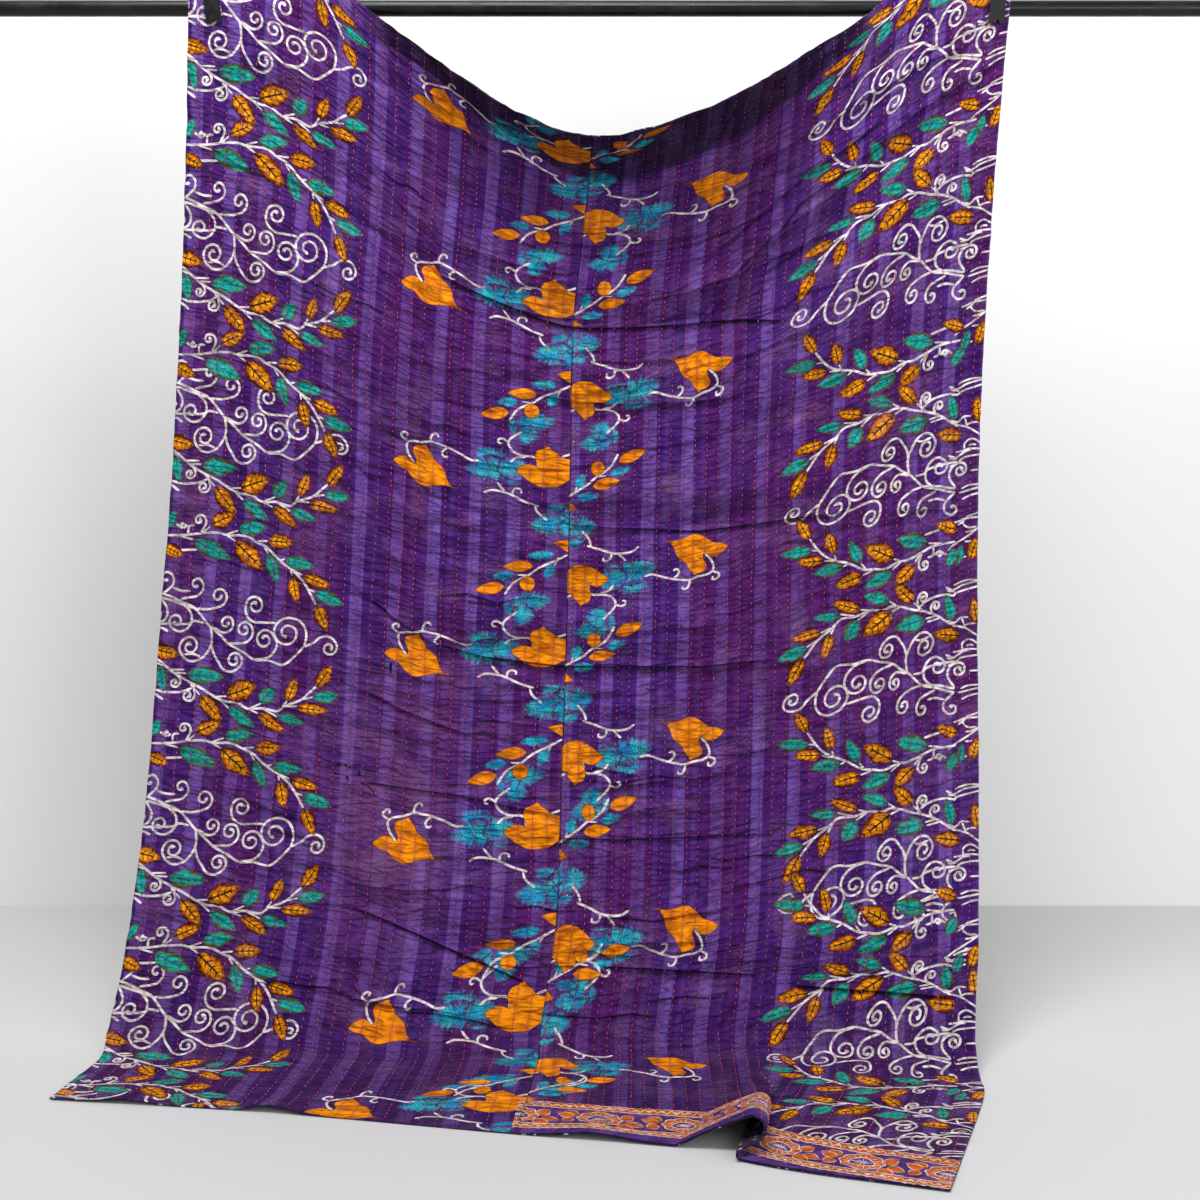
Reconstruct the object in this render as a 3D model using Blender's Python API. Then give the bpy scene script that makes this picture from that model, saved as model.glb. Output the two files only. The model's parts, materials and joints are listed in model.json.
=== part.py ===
"""A kantha quilt clipped by its two top corners to a round rail.

The cloth sags between the clips, hangs down in front of the rail, turns onto the
floor and lies there with one overturned fold. Two cloth panels meet at a seam in
the middle, and a border strip is sewn over the hem on the right.

Room frame used by the functions: X across (0 midway along the rail), Y away from
the viewer (0 on the rail's axis), Z up (0 on the floor). The empty "hanging" then
moves everything so that the origin is the middle of the rail's left end.

The flat cloth is measured by two numbers: `across` from its left edge and `down`
from its top edge. cloth(across, down) gives the place of its underside.
"""
import bpy
import bmesh
import numpy as np
from math import pi, radians, sin, cos
from mathutils import Matrix

# ---------------------------------------------------------------- driving sizes, metres
GAP = 0.0003                # air between pieces that touch

RAIL_LENGTH = 2.00
RAIL_RADIUS = 0.0125
RAIL_HEIGHT = 1.64          # floor to the rail's axis
RAIL_SIDES = 32
RAIL_END_ROUND = 0.0015

CLOTH_WIDTH = 1.40
SEAM = 0.70                 # across, where the two panels meet
CLOTH_THICKNESS = 0.0028
RAIL_CLEARANCE = 0.0020     # rail surface to the cloth's underside
WRAP_RADIUS = RAIL_RADIUS + RAIL_CLEARANCE
CORNER_FLAP = 0.080         # cloth that hangs behind the rail at each top corner

# The top edge, how far it sags below the rail's crest: (across, sag)
TOP_EDGE = [
    (0.00, -0.080), (0.14, -0.064), (0.27, 0.002), (0.42, 0.104), (0.56, 0.187),
    (0.70, 0.230), (0.85, 0.205), (1.00, 0.132), (1.13, 0.053), (1.25, -0.034),
    (1.40, -0.080),
]
# The hem, as the cloth is a little longer on the right: (across, length)
HEM = [(0.00, 1.945), (0.33, 1.990), (0.70, 2.065), (0.95, 2.115), (1.15, 2.170), (1.40, 2.195)]
# Sections down the hang: (way, X of the left edge, X of the seam, X of the right edge)
SECTIONS = [
    (0.00, -0.640, 0.000, 0.640),
    (0.25, -0.652, -0.014, 0.624),
    (0.50, -0.669, -0.042, 0.614),
    (0.75, -0.690, -0.049, 0.610),
    (1.00, -0.716, -0.055, 0.612),
    (1.25, -0.738, -0.064, 0.613),
    (1.50, -0.766, -0.074, 0.602),
    (1.66, -0.790, -0.098, 0.584),
]
# Soft folds of the hanging cloth, each along a straight line. A push towards the
# viewer is a ridge, and one away from the viewer is a trough:
# (across_1, down_1, across_2, down_2, half_width, push)
FOLDS = [
    (0.42, 0.34, 0.96, 0.43, 0.034, 0.010),     # ridge and trough under the sag
    (0.42, 0.42, 1.06, 0.51, 0.030, -0.010),
    (0.66, 0.56, 1.00, 0.59, 0.030, 0.007),
    (0.64, 0.63, 1.02, 0.66, 0.026, -0.007),
    (0.60, 0.79, 1.18, 0.81, 0.036, 0.008),
    (0.62, 0.86, 1.18, 0.88, 0.028, -0.008),
    (0.46, 1.03, 0.96, 1.06, 0.034, 0.007),
    (0.46, 1.10, 0.96, 1.13, 0.028, -0.007),
    (0.34, 1.46, 0.70, 1.58, 0.038, 0.010),     # ridges and troughs above the floor
    (0.36, 1.53, 0.72, 1.66, 0.030, -0.009),
    (0.78, 1.56, 1.36, 1.60, 0.036, 0.009),
    (0.80, 1.63, 1.38, 1.67, 0.030, -0.008),
    (1.34, 0.22, 0.92, 0.50, 0.042, -0.014),    # swags from the right clip
    (1.30, 0.34, 1.02, 0.66, 0.044, 0.012),
    (1.10, 0.36, 1.07, 0.92, 0.048, -0.010),
    (0.08, 0.20, 0.44, 0.44, 0.040, -0.010),    # swag from the left clip
    (0.10, 0.34, 0.40, 0.66, 0.046, 0.010),
    (0.36, 0.40, 0.39, 1.34, 0.044, -0.011),    # long valley beside the left border
    (0.24, 0.60, 0.22, 1.40, 0.060, 0.009),
    (1.24, 0.90, 1.22, 1.50, 0.060, 0.009),
]
FOLD_FADE = 0.3             # share of a fold's length over which each end fades out
# Places where the cloth on the floor doesn't lie quite flat:
# (across, before_hem, radius, height)
LIFTS = [(0.34, 0.00, 0.036, 0.010), (0.80, 0.00, 0.050, 0.008), (0.12, 0.01, 0.045, 0.006)]
LIFT_FROM = 0.08            # they rise fully this far from where the cloth lands

CROSSING_LIFT = 0.004       # the cloth stands off the rail where its top edge crosses over
CROSSING_SAG = 0.035        # sag within which it does
CROSSING_NEAR, CROSSING_FADE = 0.04, 0.10   # way from the crest that it keeps, and fades over

SAG_LEAN = 0.120            # the sagging edge leans this far towards the viewer
SAG_LEAN_REACH = 0.130      # and hangs straight again about this far below it
SAG_LEAN_POWER = 1.3
SAG_LEAN_FULL = 0.20        # it leans fully where it sags this much
SAG_NEAR, SAG_NEAR_SHARE, SAG_REACH = 0.20, 0.55, 1.45   # how the rows level out downwards

FOOT_FORWARD_LEFT = 0.15    # the hanging cloth leans this far forward at its foot
FOOT_FORWARD_RIGHT = 0.26
FOOT_CURVE = 5              # power of the lean: high, so it starts low down
FOOT_BEND = 0.06            # radius of the turn onto the floor
FREE_FROM, FREE_FADE_IN = 0.04, 0.16        # folds start this far below the crest
FREE_TO, FREE_FADE_OUT = 0.02, 0.12         # and end this far above the landing
PROFILE_STEP = 0.0005       # step along the side profile
PROFILE_BEHIND, PROFILE_FLOOR = 0.20, 0.70  # its reach behind the rail and on the floor

# The overturned fold on the floor opens like a fan from PIVOT, and the cloth to the
# right of it is turned by FLOOR_TURN.
PIVOT = 1.07                # across, where the cloth lands
FLOOR_TURN = radians(20)
# Its section at FLOOR_FOLD_REACH from the pivot: (part, run, angle_1, angle_2) in degrees
FLOOR_FOLD = [
    ("rise", 0.1200, 25, 25),
    ("crest", 0.0484, 25, -160),
    ("return", 0.0220, -160, -160),
    ("foot", 0.0262, -160, 0),
]
FLOOR_FOLD_REACH = 0.337
FLOOR_FOLD_RIGHT = 0.047    # its right foot, beyond the pivot
FLOOR_FOLD_SOFT = 0.16      # it stands up fully this far from the pivot
FOLD_SAMPLES = 400          # steps along that section
# The cloth spreads to the left on the floor: (across, outwards)
FLOOR_SPREAD = [(0.00, 0.22), (SEAM, 0.075), (0.92, 0.0)]
TURN_SOFT = 0.03            # the turned cloth takes this far to swing round

STRIP_LEFT = 0.69           # across, where the border strip starts
# The strip's width: (across, width)
STRIP = [(0.00, 0.110), (0.70, 0.110), (0.95, 0.118), (1.02, 0.130), (1.20, 0.105), (1.40, 0.092)]
STRIP_THICKNESS = 0.0010

# The clips: (side, x, tilt in the plane of the hanging cloth)
CLIPS = [("left", -0.603, radians(-6)), ("right", 0.618, radians(2))]
CLIP_WIDTH = 0.024
CLIP_TIP = 0.0262           # jaw tips below the rail's axis
CLIP_NOTCH = (0.0076, 0.0050)               # width and depth of the notch in the tip
NOTCH_FROM, NOTCH_TO, NOTCH_BELOW = 0.005, 0.040, 0.010     # reach of its cutter
CLIP_PIVOT = 0.046          # pin above the rail's axis
CLIP_TOP = 0.098            # handles' ends above the rail's axis
CLIP_HANDLE_OUT = 0.040
JAW_THICKNESS = 0.0055
JAW_TOP = 0.020             # the jaw runs straight up to here, above the rail's axis
WAIST_BELOW, WAIST_ABOVE = 0.006, 0.007     # the levers' waist, from the pin
OUTER_BEND_LOWER, OUTER_WAIST_SHORTER = 0.002, 0.004    # the outer side bends sooner
LEVER_BEVEL = 0.001
LUG_RADIUS, LUG_THICKNESS, LUG_ARC_POINTS = 0.0052, 0.0030, 9
PIN_RADIUS, PIN_HOLE_RADIUS, PIN_SIDES = 0.0020, 0.0023, 16
SPRING_RADIUS, SPRING_WIRE, SPRING_TURNS, SPRING_PITCH = 0.0042, 0.0007, 2.5, 0.0018
SPRING_STEPS_A_TURN = 10
SPRING_ARM = 0.020
WIRE_ROUNDING = 1           # bevel resolution of the spring's wire

# Rows of the grid down the cloth: (to this far down, this many rows)
ROWS = [(0.12, 9), (0.16, 2), (0.25, 2), (1.58, 24), (1.86, 9)]
ROWS_LYING = 2              # from there to the strip's upper edge
ROWS_STRIP = 3              # from there to the hem
# Columns, closest where the top edge crosses over the rail.
COLUMNS_LEFT = [0.0, 0.052, 0.104, 0.150, 0.190, 0.219, 0.244, 0.269, 0.294, 0.322, 0.362,
                0.410, 0.466, 0.522, 0.578, 0.634, STRIP_LEFT, SEAM - GAP / 2]
COLUMNS_TO_FOLD = 5
COLUMN_SHARES_AFTER_FOLD = [0.14, 0.25, 0.33, 0.41, 0.49, 0.58, 0.70, 0.85, 1.00]
FAN_STEPS = {"rise": 3, "crest": 5, "return": 1, "foot": 3}
FAN_LEAST = 0.42            # the fan of columns never gets narrower than this share
SHEET_SHARP, BAR_SHARP = radians(50), radians(40)   # edges sharper than this stay sharp
NORMAL_REACH = 0.002        # distance over which the cloth's slope is measured
TINY = 1e-9

MATERIALS = {               # base colour, roughness, metallic
    "printed_cotton": ((0.105, 0.040, 0.260), 0.85, 0.0),
    "border_cotton": ((0.420, 0.140, 0.090), 0.85, 0.0),
    "black_rail": ((0.010, 0.011, 0.013), 0.25, 0.0),
    "black_clip": ((0.012, 0.012, 0.013), 0.45, 0.0),
    "spring_steel": ((0.550, 0.550, 0.560), 0.35, 1.0),
}


# ---------------------------------------------------------------- curves and tables
def ease(t):
    """0 to 1 with flat ends."""
    t = np.clip(t, 0.0, 1.0)
    return t * t * (3.0 - 2.0 * t)


def through(table, column, x):
    """A smooth curve through one column of a table, read at x."""
    rows = np.array(table)
    at, value = rows[:, 0], rows[:, column]
    slope = np.gradient(value, at)
    x = np.clip(x, at[0], at[-1])
    i = np.clip(np.searchsorted(at, x) - 1, 0, len(at) - 2)
    step = at[i + 1] - at[i]
    t = (x - at[i]) / step
    start = (1 + 2 * t) * (1 - t) ** 2 * value[i] + t * (1 - t) ** 2 * step * slope[i]
    end = t * t * (3 - 2 * t) * value[i + 1] - t * t * (1 - t) * step * slope[i + 1]
    return start + end


def hem(across):
    return through(HEM, 1, across)


def sag(across):
    return through(TOP_EDGE, 1, across)


def strip_top(across):
    """How far down the border strip's upper edge lies."""
    return hem(across) - through(STRIP, 1, across)


# ---------------------------------------------------------------- the cloth's form
def side_profile(foot_forward, step=PROFILE_STEP):
    """Way from the rail's crest, forward, height: behind, over, down, along the floor."""
    behind = np.arange(-PROFILE_BEHIND, -WRAP_RADIUS * pi / 2, step)
    over = np.arange(-pi / 2, pi / 2, step / WRAP_RADIUS)
    height = np.arange(RAIL_HEIGHT, 0.0, -step)
    fallen = (RAIL_HEIGHT - height) / RAIL_HEIGHT
    forward = WRAP_RADIUS + foot_forward * fallen ** FOOT_CURVE
    lean = np.arctan(FOOT_CURVE * foot_forward / RAIL_HEIGHT * fallen ** (FOOT_CURVE - 1))
    turn = int(np.argmax(height <= FOOT_BEND * (1 - np.sin(lean))))
    bend = np.arange(lean[turn], pi / 2, step / FOOT_BEND)
    landed = forward[turn] + FOOT_BEND * cos(lean[turn])
    floor = np.arange(step, PROFILE_FLOOR, step)
    forward = np.concatenate([
        np.full(len(behind), -WRAP_RADIUS), WRAP_RADIUS * np.sin(over), forward[:turn],
        forward[turn] + FOOT_BEND * (cos(lean[turn]) - np.cos(bend)), landed + floor])
    height = np.concatenate([
        RAIL_HEIGHT + behind + WRAP_RADIUS * pi / 2, RAIL_HEIGHT + WRAP_RADIUS * np.cos(over),
        height[:turn], FOOT_BEND * (1 - np.sin(bend)), np.zeros(len(floor))])
    way = np.concatenate([[0.0], np.cumsum(np.hypot(np.diff(forward), np.diff(height)))])
    way -= way[np.argmax(height)]
    return way, forward, height, way[-1] - floor[-1]


def floor_fold_section(samples=FOLD_SAMPLES):
    """Run along the floor fold's section, and its across and up at full size."""
    length = sum(part[1] for part in FLOOR_FOLD)
    run = np.linspace(0.0, length, samples + 1)
    middle = (run[1:] + run[:-1]) / 2
    angle, start = np.zeros(samples), 0.0
    for _part, part_run, angle_1, angle_2 in FLOOR_FOLD:
        inside = (middle >= start) & (middle <= start + part_run)
        share = (middle[inside] - start) / part_run
        angle[inside] = np.radians(angle_1 + (angle_2 - angle_1) * share)
        start += part_run
    pace = length / samples
    over = np.concatenate([[0.0], np.cumsum(np.cos(angle) * pace)])
    up = np.concatenate([[0.0], np.cumsum(np.sin(angle) * pace)])
    return run, over / over[-1], up - up[-1] * run / length


SIDE_LEFT, SIDE_RIGHT = side_profile(FOOT_FORWARD_LEFT), side_profile(FOOT_FORWARD_RIGHT)
FOLD_RUN, FOLD_OVER, FOLD_UP = floor_fold_section()
FLOOR_FOLD_LEFT = FOLD_RUN[-1] - FLOOR_FOLD_RIGHT


def way_from_crest(across, down):
    """How far along the hang a point of the flat cloth lies. The rows follow the
    sagging top edge near it and level out lower down."""
    near = SAG_NEAR_SHARE * np.exp(-down / SAG_NEAR)
    far = (1 - SAG_NEAR_SHARE) * (1 - ease(down / SAG_REACH))
    return down - CORNER_FLAP + (sag(across) + CORNER_FLAP) * (near + far)


def fold_push(across, down):
    """The hanging folds together, towards the viewer."""
    push = np.zeros_like(across)
    for across_1, down_1, across_2, down_2, half_width, depth in FOLDS:
        run = np.hypot(across_2 - across_1, down_2 - down_1)
        ux, uy = (across_2 - across_1) / run, (down_2 - down_1) / run
        along = ((across - across_1) * ux + (down - down_1) * uy) / run
        aside = (across - across_1) * uy - (down - down_1) * ux
        ends = ease(along / FOLD_FADE + 0.5) * ease((1 - along) / FOLD_FADE + 0.5)
        push += depth * ends * np.exp(-(aside / half_width) ** 2)
    return push


def lift(across, down):
    """Height of the small lifts along the hem."""
    up = np.zeros_like(across)
    before_hem = hem(across) - down
    for at, before, radius, height in LIFTS:
        up += height * np.exp(-((across - at) ** 2 + (before_hem - before) ** 2) / radius ** 2)
    return up


def cloth(across, down):
    """The underside of the cloth in the room, as points (x, y, z)."""
    across, down = np.broadcast_arrays(np.asarray(across, float), np.asarray(down, float))
    way = way_from_crest(across, down)
    right = np.clip((across - PIVOT) / (CLOTH_WIDTH - PIVOT), 0.0, 1.0)

    def blend(column):
        return ((1 - right) * np.interp(way, SIDE_LEFT[0], SIDE_LEFT[column])
                + right * np.interp(way, SIDE_RIGHT[0], SIDE_RIGHT[column]))

    forward, height = blend(1), blend(2)
    landing = (1 - right) * SIDE_LEFT[3] + right * SIDE_RIGHT[3]
    hung = np.clip(np.minimum(way, landing), SECTIONS[0][0], SECTIONS[-1][0])
    left_edge, seam, right_edge = (through(SECTIONS, c, hung) for c in (1, 2, 3))
    x = np.where(across < SEAM, left_edge + (seam - left_edge) * across / SEAM,
                 seam + (right_edge - seam) * (across - SEAM) / (CLOTH_WIDTH - SEAM))

    stands_off = CROSSING_LIFT * np.exp(-(sag(across) / CROSSING_SAG) ** 2)
    stands_off = stands_off * (1 - ease((np.abs(way) - CROSSING_NEAR) / CROSSING_FADE))
    forward = forward + stands_off * np.clip(forward / WRAP_RADIUS, -1.0, 1.0)
    height = height + stands_off * np.clip((height - RAIL_HEIGHT) / WRAP_RADIUS, 0.0, 1.0)

    sagging = ease(sag(across) / SAG_LEAN_FULL)
    below = np.maximum(down, 0.0) / SAG_LEAN_REACH
    forward = forward + SAG_LEAN * sagging * np.exp(-below ** SAG_LEAN_POWER)
    free = ease((way - FREE_FROM) / FREE_FADE_IN)
    free = free * ease((landing - FREE_TO - way) / FREE_FADE_OUT)
    forward = forward + free * fold_push(across, down)

    lying = np.maximum(way - landing, 0.0)
    spread_at, spread = zip(*FLOOR_SPREAD)
    x = x - lying * np.interp(across, spread_at, spread)
    height = height + lift(across, down) * ease(lying / LIFT_FROM)
    return np.stack(floor_fold(across, lying, x, forward, height), axis=-1) * (1, -1, 1)


def floor_fold(across, lying, x, forward, height):
    """Turns the cloth right of the pivot, and folds what is left over between."""
    scale = lying / FLOOR_FOLD_REACH
    first = PIVOT - FLOOR_FOLD_LEFT * scale
    last = PIVOT + FLOOR_FOLD_RIGHT * scale
    swing = lying - TURN_SOFT * (1 - np.exp(-lying / TURN_SOFT))
    turned_x = x - sin(FLOOR_TURN) * swing
    turned_forward = forward - lying * (1 - cos(FLOOR_TURN))

    foot_1_x = x + (first - across)
    foot_2_x = x + (last - across) * cos(FLOOR_TURN) - sin(FLOOR_TURN) * swing
    beyond = last - np.maximum(across, PIVOT)
    foot_2_forward = turned_forward + sin(FLOOR_TURN) * beyond

    share = np.clip((across - first) / np.maximum(last - first, TINY), 0.0, 1.0)
    stand = ease(lying / FLOOR_FOLD_SOFT)
    over = share * (1 - stand) + np.interp(share * FOLD_RUN[-1], FOLD_RUN, FOLD_OVER) * stand
    up = np.interp(share * FOLD_RUN[-1], FOLD_RUN, FOLD_UP) * scale * stand

    folded = (lying > 0) & (across > first) & (across < last)
    turned = (lying > 0) & (across >= last)
    x = np.select([folded, turned], [foot_1_x + (foot_2_x - foot_1_x) * over, turned_x], x)
    forward = np.select([folded, turned], [forward + (foot_2_forward - forward) * over,
                                           turned_forward], forward)
    return x, forward, np.where(folded, height + up, height)


def cloth_normal(across, down, reach=NORMAL_REACH):
    """Unit normal of the cloth, out of its face."""
    one = cloth(across + reach, down) - cloth(across - reach, down)
    two = cloth(across, down + reach) - cloth(across, down - reach)
    normal = np.cross(two, one)
    return normal / np.linalg.norm(normal, axis=-1, keepdims=True)


# ---------------------------------------------------------------- grids of the flat cloth
def down_stations(across):
    """Rows down the cloth, fine over the rail and round the bend. The last rows lie
    between the strip's upper edge and the hem."""
    start, rows = 0.0, [0.0 * across]
    for end, count in ROWS:
        rows += [down + 0.0 * across for down in np.linspace(start, end, count + 1)[1:]]
        start = end
    top, low = strip_top(across), hem(across)
    rows += [start + (top - start) * k / ROWS_LYING for k in range(1, ROWS_LYING + 1)]
    rows += [top + (low - top) * k / ROWS_STRIP for k in range(1, ROWS_STRIP + 1)]
    return np.array(rows)


def fan_offsets():
    """The fan of columns that the floor fold needs, as offsets from the pivot."""
    offsets, start = [0.0], 0.0
    for part, run, _angle_1, _angle_2 in FLOOR_FOLD:
        offsets += list(start + run * np.arange(1, FAN_STEPS[part] + 1) / FAN_STEPS[part])
        start += run
    return np.array(offsets) - FLOOR_FOLD_LEFT


def left_grid():
    across = np.array(COLUMNS_LEFT)
    down = down_stations(across)
    return np.broadcast_to(across, down.shape), down


def right_grid():
    """Like the left grid, with a fan of columns that follows the floor fold."""
    fan, shares = fan_offsets(), np.array(COLUMN_SHARES_AFTER_FOLD)
    rows = []
    for row, down in enumerate(down_stations(np.array([PIVOT]))[:, 0]):
        past = way_from_crest(PIVOT, down) - SIDE_LEFT[3]
        spread = PIVOT + fan * max(past / FLOOR_FOLD_REACH, FAN_LEAST)
        before = np.linspace(SEAM + GAP / 2, spread[0], COLUMNS_TO_FOLD + 1)[:-1]
        after = spread[-1] + shares * (CLOTH_WIDTH - spread[-1])
        across = np.concatenate([before, spread, after])
        rows.append((across, down_stations(across)[row]))
    return np.array([across for across, _down in rows]), np.array([down for _across, down in rows])


def strip_grid():
    """The last rows of both panels, from the strip's left end to the right edge."""
    left, right = left_grid(), right_grid()
    return [np.concatenate([one[-ROWS_STRIP - 1:, -2:], two[-ROWS_STRIP - 1:]], axis=1)
            for one, two in zip(left, right)]


# ---------------------------------------------------------------- making objects
def material(name):
    made = bpy.data.materials.get(name) or bpy.data.materials.new(name)
    colour, roughness, metallic = MATERIALS[name]
    made.use_nodes = True
    shader = made.node_tree.nodes["Principled BSDF"]
    shader.inputs["Base Color"].default_value = (*colour, 1.0)
    shader.inputs["Roughness"].default_value = roughness
    shader.inputs["Metallic"].default_value = metallic
    return made


def add_object(name, mesh, material_name):
    mesh.materials.append(material(material_name))
    made = bpy.data.objects.new(name, mesh)
    bpy.context.scene.collection.objects.link(made)
    made.parent = HANGING
    return made


def add_sheet(name, grid, offset, thickness, material_name):
    """A closed sheet over a grid of the flat cloth, `offset` above its underside."""
    across, down = grid
    base, normal = cloth(across, down), cloth_normal(across, down)
    lower, upper = base + normal * offset, base + normal * (offset + thickness)
    rows, columns = across.shape
    mesh = bmesh.new()
    vertex = [[[mesh.verts.new(side[i, j]) for j in range(columns)] for i in range(rows)]
              for side in (lower, upper)]
    back, face = vertex
    falling = np.linalg.norm(base[1:, 1:] - base[:-1, :-1], axis=-1)
    rising = np.linalg.norm(base[1:, :-1] - base[:-1, 1:], axis=-1)
    for i in range(rows - 1):
        for j in range(columns - 1):
            for skin in vertex:
                corners = [skin[i][j], skin[i + 1][j], skin[i + 1][j + 1], skin[i][j + 1]]
                if rising[i, j] < falling[i, j]:
                    corners = corners[1:] + corners[:1]
                mesh.faces.new((corners[0], corners[1], corners[2]))
                mesh.faces.new((corners[0], corners[2], corners[3]))
    rim = ([(0, j) for j in range(columns)] + [(i, columns - 1) for i in range(1, rows)]
           + [(rows - 1, j) for j in range(columns - 2, -1, -1)]
           + [(i, 0) for i in range(rows - 2, 0, -1)])
    for (i, j), (m, n) in zip(rim, rim[1:] + rim[:1]):
        mesh.faces.new((face[i][j], face[m][n], back[m][n], back[i][j]))
    bmesh.ops.recalc_face_normals(mesh, faces=mesh.faces)
    data = bpy.data.meshes.new(name)
    mesh.to_mesh(data)
    mesh.free()
    data.shade_smooth()
    data.set_sharp_from_angle(angle=SHEET_SHARP)
    return add_object(name, data, material_name)


def turned_bar(name, profile, sides, material_name):
    """A round bar along X, turned from (x, radius) pairs, closed by flat ends."""
    mesh = bmesh.new()
    rings = []
    for x, radius in profile:
        ring = bmesh.ops.create_circle(
            mesh, segments=sides, radius=radius,
            matrix=Matrix.Translation((x, 0, 0)) @ Matrix.Rotation(pi / 2, 4, "Y"))
        rings.append(ring["verts"])
    for one, two in zip(rings, rings[1:]):
        for k in range(sides):
            n = (k + 1) % sides
            mesh.faces.new((one[k], one[n], two[n], two[k]))
    mesh.faces.new(rings[0])
    mesh.faces.new(rings[-1])
    bmesh.ops.recalc_face_normals(mesh, faces=mesh.faces)
    data = bpy.data.meshes.new(name)
    mesh.to_mesh(data)
    mesh.free()
    data.shade_smooth()
    data.set_sharp_from_angle(angle=BAR_SHARP)
    return add_object(name, data, material_name)


def add_rail():
    half, inset = RAIL_LENGTH / 2, RAIL_END_ROUND
    rail = turned_bar("rail", [
        (-half, RAIL_RADIUS - inset), (-half + inset, RAIL_RADIUS),
        (half - inset, RAIL_RADIUS), (half, RAIL_RADIUS - inset)], RAIL_SIDES, "black_rail")
    rail.location = (0, 0, RAIL_HEIGHT)


def extruded(mesh, outline, x_1, x_2):
    """Adds a solid to a bmesh: an outline of (y, z) points, carried from x_1 to x_2."""
    near = [mesh.verts.new((x_1, y, z)) for y, z in outline]
    far = [mesh.verts.new((x_2, y, z)) for y, z in outline]
    mesh.faces.new(near)
    mesh.faces.new(far)
    for k in range(len(outline)):
        n = (k + 1) % len(outline)
        mesh.faces.new((near[k], near[n], far[n], far[k]))


def as_object(name, mesh):
    bmesh.ops.recalc_face_normals(mesh, faces=mesh.faces)
    data = bpy.data.meshes.new(name)
    mesh.to_mesh(data)
    mesh.free()
    made = bpy.data.objects.new(name, data)
    bpy.context.scene.collection.objects.link(made)
    return made


def cutter(name, mesh, clip):
    made = as_object(name, mesh)
    made.hide_render = True
    made.display_type = "WIRE"
    made.parent = clip
    return made


def disc_outline(radius, y, z, sides):
    return [(y + radius * cos(2 * pi * k / sides), z + radius * sin(2 * pi * k / sides))
            for k in range(sides)]


def lever_outline(side):
    """Side view of one lever, jaw tip to handle end; side is -1 in front, 1 behind."""
    grip = WRAP_RADIUS + CLOTH_THICKNESS + GAP
    waist = SPRING_RADIUS + SPRING_WIRE + 3 * GAP
    outer_grip, outer_waist = grip + JAW_THICKNESS, waist + JAW_THICKNESS
    below, above = CLIP_PIVOT - WAIST_BELOW, CLIP_PIVOT + WAIST_ABOVE
    inner = [(grip, -CLIP_TIP), (grip, JAW_TOP), (waist, below), (waist, above),
             (CLIP_HANDLE_OUT - JAW_THICKNESS, CLIP_TOP)]
    outer = [(CLIP_HANDLE_OUT, CLIP_TOP - LEVER_BEVEL),
             (outer_waist, above - OUTER_WAIST_SHORTER), (outer_waist, below),
             (outer_grip, JAW_TOP - OUTER_BEND_LOWER), (outer_grip - LEVER_BEVEL, -CLIP_TIP)]
    return [(side * y, z) for y, z in inner + outer]


def add_lever(name, clip, side, lug_centre):
    """One black lever: a bent plate with two lugs, a pin hole and a two-pronged tip."""
    plate = bmesh.new()
    extruded(plate, lever_outline(side), -CLIP_WIDTH / 2, CLIP_WIDTH / 2)
    lever = as_object(name, plate)
    lever.data.materials.append(material("black_clip"))
    lever.parent = clip

    lugs = bmesh.new()
    reach = side * (SPRING_RADIUS + SPRING_WIRE + JAW_THICKNESS)
    for sign in (-1, 1):
        middle = sign * lug_centre
        outline = [(reach, CLIP_PIVOT - LUG_RADIUS), (reach, CLIP_PIVOT + LUG_RADIUS)]
        arc = [(-side * LUG_RADIUS * sin(a), CLIP_PIVOT + LUG_RADIUS * cos(a))
               for a in np.linspace(0.0, pi, LUG_ARC_POINTS)]
        extruded(lugs, outline + arc, middle - LUG_THICKNESS / 2, middle + LUG_THICKNESS / 2)
    hole, notch = bmesh.new(), bmesh.new()
    extruded(hole, disc_outline(PIN_HOLE_RADIUS, 0, CLIP_PIVOT, PIN_SIDES),
             -CLIP_WIDTH, CLIP_WIDTH)
    width, depth = CLIP_NOTCH
    low, high = -CLIP_TIP - NOTCH_BELOW, -CLIP_TIP + depth
    corners = [(NOTCH_FROM, low), (NOTCH_TO, low), (NOTCH_TO, high), (NOTCH_FROM, high)]
    extruded(notch, [(side * y, z) for y, z in corners], -width / 2, width / 2)
    for part, mesh, operation in (("lugs", lugs, "UNION"), ("hole", hole, "DIFFERENCE"),
                                  ("notch", notch, "DIFFERENCE")):
        cut = lever.modifiers.new(part, "BOOLEAN")
        cut.object = cutter(f"{name}_{part}", mesh, clip)
        cut.operation = operation
        cut.solver = "EXACT"


def add_pin(name, clip):
    half = CLIP_WIDTH / 2 - GAP
    pin = turned_bar(name, [(-half, PIN_RADIUS), (half, PIN_RADIUS)], PIN_SIDES, "spring_steel")
    pin.location = (0, 0, CLIP_PIVOT)
    pin.parent = clip


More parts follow.
